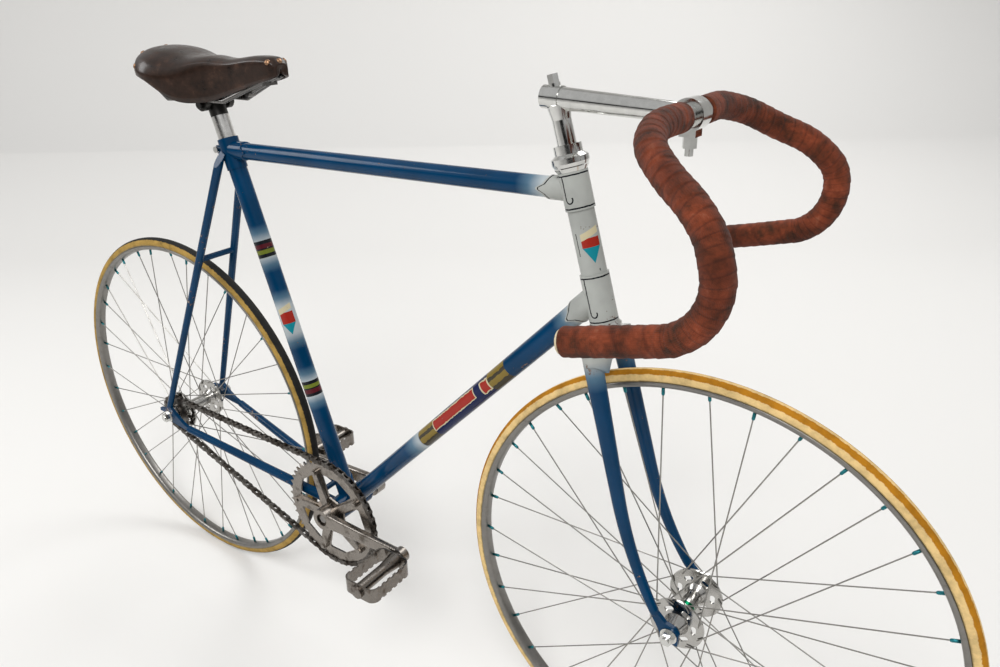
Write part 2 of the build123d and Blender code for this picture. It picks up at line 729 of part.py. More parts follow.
with BuildPart() as rear_hub:
    with BuildSketch(across(rear_axle_point)):
        hub_body(rear_hub_half, rear_flange_y)
    revolve(axis=Axis(rear_axle_point, (0, 1, 0)))
    flange_holes(rear_axle_point, rear_hub_half)
    cross_rod(rear_axle_point, -chain_line - 5, -rear_flange_y - 2, 2 * sprocket_bore)
    hub_bore = 2 * (axle_radius + running_gap)
    cross_rod(rear_axle_point, -chain_line - 6, -rear_flange_y, hub_bore, Mode.SUBTRACT)
rear_hub.part.label = "rear_hub"
export_step(rear_hub.part, "parts/rear_hub.step")


def axle_set(point, spacing):
    """Axle with its cones, washers and nuts against the fork ends or the track ends."""
    half = spacing / 2
    outer = half + dropout_thickness
    cross_rod(point, -outer - 13, outer + 13, 2 * axle_radius)
    for side_sign in (-1, 1):
        cross_rod(point, *sorted((side_sign * (half - 4.5), side_sign * half)), 17)
        cross_rod(point, *sorted((side_sign * outer, side_sign * (outer + 2))), 22)
        with BuildSketch(side(point + Vector(0, side_sign * (outer + 6.5), 0))) as nut:
            RegularPolygon(8.6, 6)
        extrude(nut.sketch, amount=4.5, both=True)


with BuildPart() as front_axle:
    axle_set(front_axle_point, front_spacing)
front_axle.part.label = "front_axle"
export_step(front_axle.part, "parts/front_axle.step")

with BuildPart() as rear_axle:
    axle_set(rear_axle_point, rear_spacing)
rear_axle.part.label = "rear_axle"
export_step(rear_axle.part, "parts/rear_axle.step")

# Drive: toothed rings, cranks, pedals and the chain
tooth_root = 3.6
tooth_tip = 2.6


def toothed(teeth):
    """Toothed disc in the active sketch, with one tooth to each pitch of the chain."""
    pitch_radius = chain_pitch / 2 / sin(pi / teeth)
    points = []
    root, tip = pitch_radius - tooth_root, pitch_radius + tooth_tip
    for tooth in range(teeth):
        for radius, turn in ((root, -0.26), (root, 0.26), (tip, 0.5)):
            angle = 2 * pi * (tooth + turn) / teeth
            points.append((radius * cos(angle), radius * sin(angle)))
    Polygon(*points, align=None)


# Five windows between the arms: radial distance and half width of one window's corners
ring_y = -chain_line
ring_arms = 5
arm_turn = 36.0
window_corners = [(30, -11), (66, -35), (77, 0), (66, 35), (30, 11)]
window_rounding = 4.0
ring_hole = 21.0
with BuildSketch() as window:
    Polygon(*window_corners, align=None)
    fillet(window.vertices(), window_rounding)

with BuildPart() as chainring:
    with BuildSketch(side(bottom_bracket + Vector(0, ring_y, 0))):
        toothed(chainring_teeth)
        with PolarLocations(0, ring_arms):
            add(window.sketch, mode=Mode.SUBTRACT)
        Circle(ring_hole, mode=Mode.SUBTRACT)
    extrude(amount=ring_thickness / 2, both=True)
chainring.part.label = "chainring"
export_step(chainring.part, "parts/chainring.step")

with BuildPart() as sprocket:
    with BuildSketch(side(rear_axle_point + Vector(0, ring_y, 0))):
        toothed(sprocket_teeth)
        Circle(sprocket_bore, mode=Mode.SUBTRACT)
    extrude(amount=ring_thickness / 2, both=True)
sprocket.part.label = "sprocket"
export_step(sprocket.part, "parts/sprocket.step")


crank_boss = 19.0
crank_eye = 12.5
pedal_thread = 13.0
recess_diameter = 22.0
recess_depth = 8.0
crank_outer = crank_inner + crank_thickness
boss_inner = crank_inner - 8.0
# columns: share of the crank's length, height, thickness
crank_sections = [(0, 29, crank_thickness), (0.45, 23, crank_thickness), (1, 19, crank_thickness - 2)]


def crank_arm(side_sign, turn):
    """Crank that tapers from its boss to the pedal eye, turned from pointing straight ahead."""
    heading = Vector(cos(radians(turn)), 0, sin(radians(turn)))
    middle = bottom_bracket + Vector(0, side_sign * (crank_inner + crank_thickness / 2), 0)
    eye = bottom_bracket + heading * crank_length
    sections = []
    for share, height, thickness in crank_sections:
        place = middle + heading * crank_length * share
        with BuildSketch(Plane(origin=place, x_dir=(0, 1, 0), z_dir=heading)) as section:
            RectangleRounded(thickness, height, 4)
        sections.append(section.sketch.face())
    loft(sections, ruled=True)
    cross_rod(eye, *sorted((side_sign * crank_inner, side_sign * crank_outer)), 2 * crank_eye)
    cross_rod(bottom_bracket, *sorted((side_sign * boss_inner, side_sign * crank_outer)), 2 * crank_boss)
    cross_rod(bottom_bracket, *sorted((0, side_sign * 2 * crank_outer)), spindle_diameter, Mode.SUBTRACT)
    recess = sorted((side_sign * (crank_outer - recess_depth), side_sign * (crank_outer + 1)))
    cross_rod(bottom_bracket, *recess, recess_diameter, Mode.SUBTRACT)
    cross_rod(eye, *sorted((0, side_sign * 2 * crank_outer)), pedal_thread, Mode.SUBTRACT)


# The right crank carries five tapered arms, with the bolts that hold the ring to them
bolt_circle = 79.0
arm_thickness = 6.0
arm_face = chain_line + ring_thickness / 2
with BuildPart() as crank_right:
    crank_arm(-1, 0)
    with BuildSketch(side(bottom_bracket + Vector(0, -arm_face, 0))):
        with PolarLocations(0, ring_arms, start_angle=arm_turn):
            Polygon((0, -9), (bolt_circle, -5.5), (bolt_circle, 5.5), (0, 9), align=None)
        with PolarLocations(bolt_circle, ring_arms, start_angle=arm_turn):
            Circle(6)
        Circle(crank_boss)
        Circle(spindle_diameter / 2, mode=Mode.SUBTRACT)
    extrude(amount=arm_thickness)
    with BuildSketch(side(bottom_bracket + Vector(0, -arm_face - arm_thickness, 0))):
        with PolarLocations(bolt_circle, ring_arms, start_angle=arm_turn):
            RegularPolygon(4.5, 6)
    extrude(amount=2)
crank_right.part.label = "crank_right"
export_step(crank_right.part, "parts/crank_right.step")

with BuildPart() as crank_left:
    crank_arm(1, 180)
crank_left.part.label = "crank_left"
export_step(crank_left.part, "parts/crank_left.step")

# The spindle ends at the bottom of each crank's recess, under the head of the bolt that holds the crank
spindle_end = crank_outer - recess_depth
with BuildPart() as crank_spindle:
    cross_rod(bottom_bracket, -spindle_end, spindle_end, spindle_diameter)
    for side_sign in (-1, 1):
        with BuildSketch(side(bottom_bracket + Vector(0, side_sign * (spindle_end + 2.5), 0))):
            RegularPolygon(7.5, 6)
        extrude(amount=2.5, both=True)
crank_spindle.part.label = "crank_spindle"
export_step(crank_spindle.part, "parts/crank_spindle.step")

pedal_points = {
    -1: bottom_bracket + Vector(crank_length, 0, 0),
    1: bottom_bracket - Vector(crank_length, 0, 0),
}
pedal_flange = 5.0
pedal_start = crank_outer + pedal_flange + 0.5
pedal_pin = 9.0
pedal_barrel = 19.0
pedal_cap = 4.0
with BuildPart() as pedal_spindles:
    for side_sign, point in pedal_points.items():
        pin_end = pedal_start + pedal_length - 6
        cross_rod(point, *sorted((side_sign * crank_inner, side_sign * crank_outer)), pedal_thread)
        cross_rod(point, *sorted((side_sign * crank_outer, side_sign * (crank_outer + pedal_flange))), 15)
        cross_rod(point, *sorted((side_sign * (crank_outer + pedal_flange), side_sign * pin_end)), pedal_pin)
pedal_spindles.part.label = "pedal_spindles"
export_step(pedal_spindles.part, "parts/pedal_spindles.step")

cage_plate = 2.5
cage_rounding = 13.0
cage_teeth = 5


def pedal(side_sign):
    """Pedal with a swelling barrel, a toothed cage bent round it and a cap at the outer end."""
    point = pedal_points[side_sign]
    outer_end = pedal_start + pedal_length
    middle = Vector(point.X, side_sign * (pedal_start + outer_end) / 2, point.Z)
    with BuildSketch(Plane(origin=middle, x_dir=(1, 0, 0), z_dir=(0, 0, 1))) as cage:
        RectangleRounded(pedal_width, pedal_length, cage_rounding)
        offset(amount=-cage_plate, mode=Mode.SUBTRACT)
    extrude(cage.sketch, amount=pedal_height / 2, both=True)
    tooth_step = (pedal_length - 2 * cage_rounding) / cage_teeth
    for up in (-1, 1):
        with Locations(middle + Vector(0, 0, up * pedal_height / 2)):
            with GridLocations(1, tooth_step, 1, cage_teeth):
                Box(pedal_width + 1, 0.5 * tooth_step, 5, mode=Mode.SUBTRACT)
    cross_rod(point, *sorted((side_sign * pedal_start, side_sign * outer_end)), pedal_barrel)
    inner_end = Vector(point.X, side_sign * pedal_start, point.Z)
    taper(inner_end, inner_end + Vector(0, side_sign * 0.35 * pedal_length, 0), 26, pedal_barrel)
    cross_rod(point, *sorted((side_sign * outer_end, side_sign * (outer_end + pedal_cap))), 21)
    bore = sorted((side_sign * (pedal_start - 1), side_sign * (outer_end - 5)))
    cross_rod(point, *bore, pedal_pin + 2 * running_gap, Mode.SUBTRACT)


with BuildPart() as pedal_right:
    pedal(-1)
pedal_right.part.label = "pedal_right"
export_step(pedal_right.part, "parts/pedal_right.step")

with BuildPart() as pedal_left:
    pedal(1)
pedal_left.part.label = "pedal_left"
export_step(pedal_left.part, "parts/pedal_left.step")

# Chain: the loop runs over both pitch circles and the two tangents between them
ring_radius = chain_pitch / 2 / sin(pi / chainring_teeth)
sprocket_radius = chain_pitch / 2 / sin(pi / sprocket_teeth)
centres_apart = hypot(bottom_bracket_forward, bottom_bracket_drop)
tilt = atan2(-bottom_bracket_drop, bottom_bracket_forward)
spread_angle = asin((ring_radius - sprocket_radius) / centres_apart)
straight = sqrt(centres_apart ** 2 - (ring_radius - sprocket_radius) ** 2)
ring_wrap = ring_radius * (pi + 2 * spread_angle)
sprocket_wrap = sprocket_radius * (pi - 2 * spread_angle)
loop_length = 2 * straight + ring_wrap + sprocket_wrap
link_count = 2 * round(loop_length / chain_pitch / 2)
upper_tangent = tilt + pi / 2 + spread_angle
lower_tangent = tilt - pi / 2 - spread_angle


def chain_point(run):
    """Forward and up of a point on the loop, by its distance run from the upper tangent's rear end."""
    run = run % loop_length
    if run < straight:
        heading = upper_tangent - pi / 2
        return (
            sprocket_radius * cos(upper_tangent) + run * cos(heading),
            sprocket_radius * sin(upper_tangent) + run * sin(heading),
        )
    run -= straight
    if run < ring_wrap:
        angle = upper_tangent - run / ring_radius
        return (
            bottom_bracket_forward + ring_radius * cos(angle),
            -bottom_bracket_drop + ring_radius * sin(angle),
        )
    run -= ring_wrap
    if run < straight:
        heading = lower_tangent - pi / 2
        return (
            bottom_bracket_forward + ring_radius * cos(lower_tangent) + run * cos(heading),
            -bottom_bracket_drop + ring_radius * sin(lower_tangent) + run * sin(heading),
        )
    angle = lower_tangent - (run - straight) / sprocket_radius
    return sprocket_radius * cos(angle), sprocket_radius * sin(angle)


roller_size = 6.0
plate_overhang = 2.8


def clear_of_teeth(forward, up):
    """Whether a roller at this point stays clear of the teeth of both rings as they turn."""
    reach = tooth_tip + 0.75 * roller_size + 1.0
    from_ring = hypot(forward - bottom_bracket_forward, up + bottom_bracket_drop)
    from_sprocket = hypot(forward, up)
    return from_ring > ring_radius + reach and from_sprocket > sprocket_radius + reach


def beside_loop(run, offset):
    """Forward and up of a point at that distance run, moved outwards from the loop."""
    before, after = chain_point(run - 1), chain_point(run + 1)
    forward, up = chain_point(run)
    length = hypot(after[0] - before[0], after[1] - before[1])
    return forward - offset * (after[1] - before[1]) / length, up + offset * (after[0] - before[0]) / length


# Outer plates stand on a band of inner plates and reach past both their pins. Rollers lie between
# the two bands, clear of both wraps, where teeth pass.
link_run = loop_length / link_count
plate_ends = []
roller_spots = []
for link in range(1, link_count, 2):
    plate_ends.append((link * link_run - plate_overhang, (link + 1) * link_run + plate_overhang))
    here, there = chain_point(link * link_run), chain_point((link + 1) * link_run)
    if clear_of_teeth(*here):
        roller_spots.append(Location((*here, 0)))
band_runs = [end for ends in plate_ends for end in ends]
half_height = plate_height / 2

with BuildPart() as chain:
    for side_sign in (-1, 1):
        band_face = rear_axle_point + Vector(0, ring_y + side_sign * chain_inner_half, 0)
        with BuildSketch(side(band_face)):
            Polygon(*[beside_loop(run, half_height) for run in band_runs], align=None)
            Polygon(*[beside_loop(run, -half_height) for run in band_runs], align=None, mode=Mode.SUBTRACT)
        extrude(amount=-side_sign * plate_thickness)
        with BuildSketch(side(band_face)):
            for start, end in plate_ends:
                Polygon(
                    beside_loop(start, -half_height), beside_loop(start, half_height),
                    beside_loop(end, half_height), beside_loop(end, -half_height), align=None,
                )
        extrude(amount=-side_sign * 2 * plate_thickness)
    with BuildSketch(side(rear_axle_point + Vector(0, ring_y, 0))):
        with Locations(*roller_spots):
            RegularPolygon(roller_size / 2 * 1.15, 4)
    extrude(amount=chain_inner_half, both=True)
chain.part.label = "chain"
export_step(chain.part, "parts/chain.step")

# Seat post, with a clamp that grips the saddle's rails
clamp_along = seat_tube_length + post_exposed
clamp = seat_at(clamp_along)
rail_up = 5.0
post_neck_diameter = 22.0
post_neck_length = 18.0
clamp_sleeve = 22.0
jaw_diameter = 24.0
jaw_width = 8.0
clamp_bolt_half = 24.0
clamp_nut_width = 7.0
with BuildPart() as seat_post:
    rod(seat_at(seat_tube_length - 70), seat_at(clamp_along - clamp_sleeve), seat_post_diameter)
    neck_foot = seat_at(clamp_along - clamp_sleeve)
    neck_top = seat_at(clamp_along - clamp_sleeve + post_neck_length)
    rod(neck_foot, neck_top, post_neck_diameter)
seat_post.part.label = "seat_post"
export_step(seat_post.part, "parts/seat_post.step")

with BuildPart() as saddle_clamp:
    rod(seat_at(clamp_along - clamp_sleeve), seat_at(clamp_along + 2), seat_post_diameter)
    clamp_bolt = clamp - Vector(0, 0, 2)
    cross_rod(clamp_bolt, -clamp_bolt_half, clamp_bolt_half, 14)
    for side_sign in (-1, 1):
        jaw = sorted((side_sign * (rail_spacing - jaw_width) / 2, side_sign * (rail_spacing + jaw_width) / 2))
        cross_rod(clamp, *jaw, jaw_diameter)
        nut = sorted((side_sign * clamp_bolt_half, side_sign * (clamp_bolt_half + clamp_nut_width)))
        cross_rod(clamp_bolt, *nut, 12)
    rod(seat_at(clamp_along - clamp_sleeve - 2), neck_top, post_neck_diameter, Mode.SUBTRACT)
    for side_sign in (-1, 1):
        centre = clamp + Vector(0, side_sign * rail_spacing / 2, rail_up)
        rod(centre - Vector(60, 0, 0), centre + Vector(60, 0, 0), rail_diameter, Mode.SUBTRACT)
saddle_clamp.part.label = "saddle_clamp"
export_step(saddle_clamp.part, "parts/saddle_clamp.step")

# Rails: from the leather's rear edge down to the clamp, and forward to the nose
# columns: ahead of the clamp, out, above the clamp
rail_route = [
    (-103.0, 36.0, 52.0),
    (-86.0, 42.0, 26.0),
    (-62.0, 38.0, rail_up),
    (-32.0, rail_spacing / 2, rail_up),
    (50.0, rail_spacing / 2, rail_up),
    (154.0, 6.0, 45.0),
]
nose_bolt_diameter = 7.0
with BuildPart() as saddle_rails:
    for side_sign in (-1, 1):
        knots = [clamp + Vector(ahead, side_sign * out, up) for ahead, out, up in rail_route]
        for start, end in zip(knots, knots[1:]):
            rod(start, end, rail_diameter)
        with Locations(*knots[1:-1]):
            Sphere(rail_diameter / 2)
    rod(clamp + Vector(80, 0, 15), clamp + Vector(152, 0, 44), nose_bolt_diameter)
    cross_rod(clamp + Vector(86, 0, 17), -7, 7, 11)
    with Locations(clamp + Vector(132, 0, 36)):
        Box(5, 24, 12)
saddle_rails.part.label = "saddle_rails"
export_step(saddle_rails.part, "parts/saddle_rails.step")

# Leather cover: arched sections from the rear to the nose
# columns: forward of the rear edge, half width, crown height, skirt height, all about the clamp
saddle_rear = clamp.X - 110.8
saddle_sections = [
    (0.0, 44.0, 69.0, 46.0),
    (12.0, 62.0, 80.0, 41.0),
    (45.0, 71.0, 78.0, 34.0),
    (90.0, 56.0, saddle_above_clamp, 6.0),
    (130.0, 34.0, saddle_above_clamp, 3.0),
    (175.0, 23.0, 65.0, 15.0),
    (225.0, 19.0, 70.0, 30.0),
    (260.0, 17.0, 70.0, 39.0),
    (272.0, 12.0, 62.0, 43.0),
]


def saddle_arch(forward, half, crown, skirt, inset):
    """One arched section of the cover, inset on all sides for the hollow under it."""
    half -= inset
    crown -= inset
    low = skirt - (1 if inset else 0)
    with BuildSketch(across(Vector(saddle_rear + forward, 0, clamp.Z))) as arch:
        Polygon(
            (-half, low), (-half, crown - 0.42 * half - 2), (-0.86 * half, crown - 0.2 * half - 1),
            (-0.5 * half, crown - 0.05 * half), (0, crown), (0.5 * half, crown - 0.05 * half),
            (0.86 * half, crown - 0.2 * half - 1), (half, crown - 0.42 * half - 2), (half, low), align=None,
        )
    return arch.sketch.face()


with BuildPart() as saddle_cover:
    loft([saddle_arch(*row, 0) for row in saddle_sections], ruled=True)
    loft([saddle_arch(*row, leather) for row in saddle_sections[1:-1]], ruled=True, mode=Mode.SUBTRACT)
    add(saddle_rails.part, mode=Mode.SUBTRACT)
saddle_cover.part.label = "saddle_cover"
export_step(saddle_cover.part, "parts/saddle_cover.step")
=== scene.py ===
"""Track racing bicycle: blue enamelled lugged frame, bright fittings, cloth tape, leather and tubular tyres.

Metres, in the part's own frame: X forward, Y to the rider's left, Z up, origin on top of the saddle.
"""
from math import asin, atan2, cos, hypot, pi, radians, sin, sqrt

import bmesh
import bpy
import numpy as np
from mathutils import Matrix, Vector


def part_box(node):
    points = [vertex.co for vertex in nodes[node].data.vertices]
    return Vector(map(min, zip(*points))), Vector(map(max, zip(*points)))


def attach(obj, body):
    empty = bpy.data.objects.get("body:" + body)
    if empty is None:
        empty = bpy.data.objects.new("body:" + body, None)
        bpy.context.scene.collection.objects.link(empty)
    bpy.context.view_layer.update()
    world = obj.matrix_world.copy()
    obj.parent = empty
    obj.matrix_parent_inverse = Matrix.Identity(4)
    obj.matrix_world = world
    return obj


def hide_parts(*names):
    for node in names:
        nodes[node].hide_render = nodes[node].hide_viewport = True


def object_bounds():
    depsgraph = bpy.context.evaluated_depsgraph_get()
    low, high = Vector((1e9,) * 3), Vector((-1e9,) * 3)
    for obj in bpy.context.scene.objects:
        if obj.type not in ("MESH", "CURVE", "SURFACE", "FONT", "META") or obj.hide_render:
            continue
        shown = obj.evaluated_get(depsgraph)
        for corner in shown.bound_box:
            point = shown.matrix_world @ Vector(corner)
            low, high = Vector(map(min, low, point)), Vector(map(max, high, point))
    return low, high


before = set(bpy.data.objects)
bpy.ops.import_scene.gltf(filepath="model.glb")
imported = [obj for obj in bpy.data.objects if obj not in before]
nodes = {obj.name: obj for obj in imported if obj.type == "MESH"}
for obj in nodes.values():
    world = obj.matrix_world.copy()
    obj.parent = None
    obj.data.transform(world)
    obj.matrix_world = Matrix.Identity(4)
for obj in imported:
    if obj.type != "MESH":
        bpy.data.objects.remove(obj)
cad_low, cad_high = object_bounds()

scene = bpy.context.scene

# Studio: a pale seamless floor that rises into a wall far behind, a wide ground just below it, three large
# soft lamps and a world that is pale above and dark along the horizon. The camera stands ahead of the
# bicycle on its right side and looks down at it.
floor_colour, floor_rough = (0.78, 0.77, 0.75, 1), 0.9
sweep_section = np.array([(-9, 0), (6, 0), (9, 0.3), (11, 1.6), (12, 4), (12, 9)])
sweep_half = 14.0
wall_turn = radians(-35)
ground_half, ground_below = 60.0, 0.003
sky_stops = ((0.0, 0.25), (0.49, 0.30), (0.50, 0.02), (0.57, 0.03), (0.59, 0.7), (0.66, 1.0), (1.0, 1.0))
sky_strength = 0.6
lamp_aim = Vector((0.33, 0.0, -0.5))
camera_place = (1.0867, -0.7799, 0.0800)
camera_right = Vector((0.82589, 0.56365, -0.01423))
camera_up = Vector((-0.21519, 0.33843, 0.91606))


def node(tree, kind, inputs=None, **settings):
    """New shader node. inputs pairs a socket's name or number with a value or with another output."""
    made = tree.nodes.new("ShaderNode" + kind)
    for key, value in settings.items():
        setattr(made, key, value)
    for socket, value in (inputs or {}).items():
        if isinstance(value, bpy.types.NodeSocket):
            tree.links.new(value, made.inputs[socket])
        else:
            made.inputs[socket].default_value = value
    return made


def calc(tree, operation, *values):
    """Result of a sum on up to three values or outputs."""
    return node(tree, "Math", dict(enumerate(values)), operation=operation).outputs[0]


def ramp(tree, value, stops):
    """Colour that follows a value through its stops of (place, colour or grey)."""
    made = node(tree, "ValToRGB", {0: value})
    line = made.color_ramp
    for number, (at, colour) in enumerate(stops):
        stop = line.elements[number] if number < 2 else line.elements.new(at)
        stop.position = at
        stop.color = (*(colour if isinstance(colour, tuple) else (colour,) * 3), 1)
    return made.outputs[0]


def shader(name, rough=0.4, metal=0.0, **sockets):
    """New material with its shader's own constant sockets set, as (material, tree, shader node)."""
    made = bpy.data.materials.new(name)
    made.use_nodes = True
    surface = made.node_tree.nodes["Principled BSDF"]
    surface.inputs["Roughness"].default_value = rough
    surface.inputs["Metallic"].default_value = metal
    for socket, value in sockets.items():
        surface.inputs[socket.replace("_", " ")].default_value = value
    return made, made.node_tree, surface


def mesh_object(name, points, faces, uv=None, poles=False):
    """Smooth mesh from an array of points and one of faces with equal corner counts. uv has a pair per
    corner. poles merges the points that fall together where a surface closes."""
    mesh = bpy.data.meshes.new(name)
    points, faces = np.asarray(points, float), np.asarray(faces, int)
    mesh.from_pydata(points.reshape(-1, 3).tolist(), [], faces.tolist())
    if uv is not None:
        mesh.uv_layers.new(name="UVMap").data.foreach_set("uv", np.asarray(uv, float).ravel())
    if poles:
        form = bmesh.new()
        form.from_mesh(mesh)
        bmesh.ops.remove_doubles(form, verts=form.verts, dist=1e-7)
        form.to_mesh(mesh)
        form.free()
    mesh.polygons.foreach_set("use_smooth", np.ones(len(mesh.polygons), bool))
    made = bpy.data.objects.new(name, mesh)
    scene.collection.objects.link(made)
    return made


def soft_lamp(name, place, size, watts):
    """Square area lamp at a place, turned towards the middle of the bicycle."""
    lamp = bpy.data.lights.new(name, "AREA")
    lamp.shape, lamp.size, lamp.energy = "SQUARE", size, watts
    made = bpy.data.objects.new(name, lamp)
    made.location = place
    made.rotation_euler = (lamp_aim - Vector(place)).to_track_quat("-Z", "Y").to_euler()
    scene.collection.objects.link(made)


floor_material = shader("studio_floor", rough=floor_rough, Base_Color=floor_colour)[0]
across = np.array([-sweep_half, sweep_half])[:, None]
back, rise = sweep_section.T
sweep_points = np.stack([
    across * cos(wall_turn) - back * sin(wall_turn), back * cos(wall_turn) - across * sin(wall_turn),
    rise + cad_low.z + 0 * across,
], -1)
cells = np.arange(len(back) - 1)
sweep_faces = np.stack([cells + len(back), cells + len(back) + 1, cells + 1, cells], 1)
floor = mesh_object("studio_floor", sweep_points, sweep_faces)
floor.data.materials.append(floor_material)
ground_x, ground_y = np.meshgrid((-ground_half, ground_half), (-ground_half, ground_half))
ground_points = np.stack([ground_x, ground_y, 0 * ground_x + cad_low.z - ground_below], -1)
ground = mesh_object("studio_ground", ground_points, [(0, 1, 3, 2)])
ground.data.materials.append(floor_material)

world = bpy.data.worlds.new("studio_world")
scene.world = world
world.use_nodes = True
sky = world.node_tree
height = node(sky, "SeparateXYZ", {0: node(sky, "TexCoord").outputs["Generated"]}).outputs["Z"]
sky_grey = ramp(sky, calc(sky, "MULTIPLY_ADD", height, 0.5, 0.5), sky_stops)
sky.links.new(sky_grey, sky.nodes["Background"].inputs["Color"])
sky.nodes["Background"].inputs["Strength"].default_value = sky_strength
soft_lamp("key_lamp", (1.8, -2.6, 2.6), size=1.6, watts=95)
soft_lamp("side_lamp", (-2.6, -1.8, 1.6), size=1.6, watts=45)
soft_lamp("back_lamp", (0.4, 3.0, 2.4), size=2.0, watts=60)

camera_data = bpy.data.cameras.new("camera")
camera_data.sensor_width, camera_data.lens = 36.0, 28.09
camera_data.clip_start, camera_data.clip_end = 0.02, 60.0
camera = bpy.data.objects.new("camera", camera_data)
camera_turn = Matrix((camera_right, camera_up, camera_right.cross(camera_up))).transposed()
camera.matrix_world = Matrix.Translation(camera_place) @ camera_turn.to_4x4()
scene.collection.objects.link(camera)
scene.camera = camera
scene.view_settings.view_transform = "Standard"

# Frame tubes: seamless steel tubes, brazed into lugs and sprayed deep blue. The seat tube has three sprayed
# bands and a sticker, the down tube a long transfer. The bands' edges and the tubes' ends at the head fade
# to white.
blue = (0.0004, 0.036, 0.098)
mist = (0.38, 0.42, 0.44)
haze = (0.075, 0.145, 0.21)
primer = (0.13, 0.07, 0.045)
bare = (0.30, 0.29, 0.28)
ink = (0.008, 0.009, 0.012)
maroon, leaf, cream = (0.08, 0.010, 0.016), (0.14, 0.17, 0.022), (0.52, 0.46, 0.30)
red, teal, navy, gold = (0.30, 0.022, 0.014), (0.01, 0.20, 0.25), (0.006, 0.012, 0.06), (0.20, 0.14, 0.03)
umber = (0.045, 0.038, 0.024)
head_lean, seat_lean = radians(74.6), radians(72.7)
fork_rake = 0.0316
seat_tube_length, top_tube_on_seat = 0.633, 0.615
top_tube_on_head, down_tube_on_head = 0.555, 0.429
sticker_half, sticker_slant, sticker_gap = 0.0105, -0.35, 0.001
band_edge = 0.002


def spot(tree, stretch=(1, 1, 1)):
    """Object coordinates, stretched."""
    return node(tree, "Mapping", {0: node(tree, "TexCoord").outputs["Object"], 3: stretch}).outputs[0]


def noise(tree, scale, detail=4.0, roughness=0.55, vector=None, distortion=0.0):
    """Height of a noise pattern, from 0 to 1."""
    return node(tree, "TexNoise", {
        "Vector": vector or spot(tree), "Scale": scale, "Detail": detail, "Roughness": roughness,
        "Distortion": distortion,
    }).outputs[0]


def wobble(tree, scale, reach, **settings):
    """Noise pattern from minus a reach to plus it."""
    return calc(tree, "MULTIPLY_ADD", noise(tree, scale, **settings), 2 * reach, -reach)


def blend_colour(tree, factor, first, second, kind="MIX"):
    """Two colours, mixed by a factor."""
    made = tree.nodes.new("ShaderNodeMix")
    made.data_type, made.blend_type = "RGBA", kind
    for socket, value in ((0, factor), (6, first), (7, second)):
        if isinstance(value, bpy.types.NodeSocket):
            tree.links.new(value, made.inputs[socket])
        else:
            made.inputs[socket].default_value = (*value, 1) if isinstance(value, tuple) else value
    return made.outputs[2]


def bump(tree, surface, height, strength, distance):
    """Raises a height pattern on the surface, by its distance in metres."""
    made = node(tree, "Bump", {"Height": height, "Strength": strength, "Distance": distance})
    tree.links.new(made.outputs[0], surface.inputs["Normal"])


def along(tree, start, end):
    """Share of the way from one point to another, in object coordinates."""
    start, end = Vector(start), Vector(end)
    run = (end - start) / (end - start).length_squared
    here = node(tree, "TexCoord").outputs["Object"]
    dot = node(tree, "VectorMath", {0: here, 1: tuple(run)}, operation="DOT_PRODUCT").outputs["Value"]
    return calc(tree, "SUBTRACT", dot, start.dot(run))


def between(tree, value, low, high):
    """1 where a value lies between two limits."""
    return calc(tree, "COMPARE", value, (low + high) / 2, (high - low) / 2)


def enamel(name, start=(0, 0, 0), end=(0, 0, 1), stops=((0.0, blue), (1.0, blue)), chips=0.62, lines=None):
    """Sprayed enamel: colour stops along a line, small chips down to primer and steel where a noise height
    passes chips, and a clear coat. lines is a function that paints the tree's colour further by hand."""
    made, tree, surface = shader(name, Coat_Weight=0.08, Coat_Roughness=0.06, Specular_IOR_Level=0.14)
    share = calc(tree, "ADD", along(tree, start, end), wobble(tree, 90.0, 0.002))
    shade = ramp(tree, noise(tree, 14.0), ((0.3, 0.78), (0.7, 1.12)))
    colour = blend_colour(tree, 1.0, ramp(tree, share, stops), shade, "MULTIPLY")
    if lines:
        colour = lines(tree, colour)
    fine = noise(tree, 160.0, detail=6.0, roughness=0.7)
    coarse = noise(tree, 26.0, detail=3.0)
    worn = calc(tree, "MULTIPLY_ADD", coarse, 0.45, calc(tree, "MULTIPLY", fine, 0.55))
    mask = ramp(tree, worn, ((chips, 0.0), (chips + 0.015, 1.0)))
    depth = ramp(tree, worn, ((chips + 0.03, 0.0), (chips + 0.05, 1.0)))
    under = blend_colour(tree, depth, primer, bare)
    tree.links.new(blend_colour(tree, mask, colour, under), surface.inputs["Base Color"])
    tree.links.new(ramp(tree, noise(tree, 60.0), ((0.3, 0.10), (0.8, 0.24))), surface.inputs["Roughness"])
    bump(tree, surface, calc(tree, "SUBTRACT", 1.0, mask), 0.5, 0.0004)
    return made


def dress(material, *names):
    """Gives CAD nodes their material."""
    for name in names:
        nodes[name].data.materials.clear()
        nodes[name].data.materials.append(material)


def middle_of(name):
    """Middle of the box round a CAD node."""
    low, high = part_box(name)
    return (Vector(low) + Vector(high)) / 2


rear_axle = middle_of("rear_axle")
front_axle = middle_of("front_axle")
crank_axis = middle_of("crank_spindle")
leftwards = Vector((0, 1, 0))
steer_up = Vector((-cos(head_lean), 0, sin(head_lean)))
steer_ahead = Vector((sin(head_lean), 0, cos(head_lean)))
seat_up = Vector((-cos(seat_lean), 0, sin(seat_lean)))
seat_ahead = Vector((seat_up.z, 0, -seat_up.x))


def steer_at(up, ahead=0.0):
    """Point by its height along the steering axis from beside the hub, and its distance ahead of it."""
    return front_axle + steer_up * up + steer_ahead * (ahead - fork_rake)


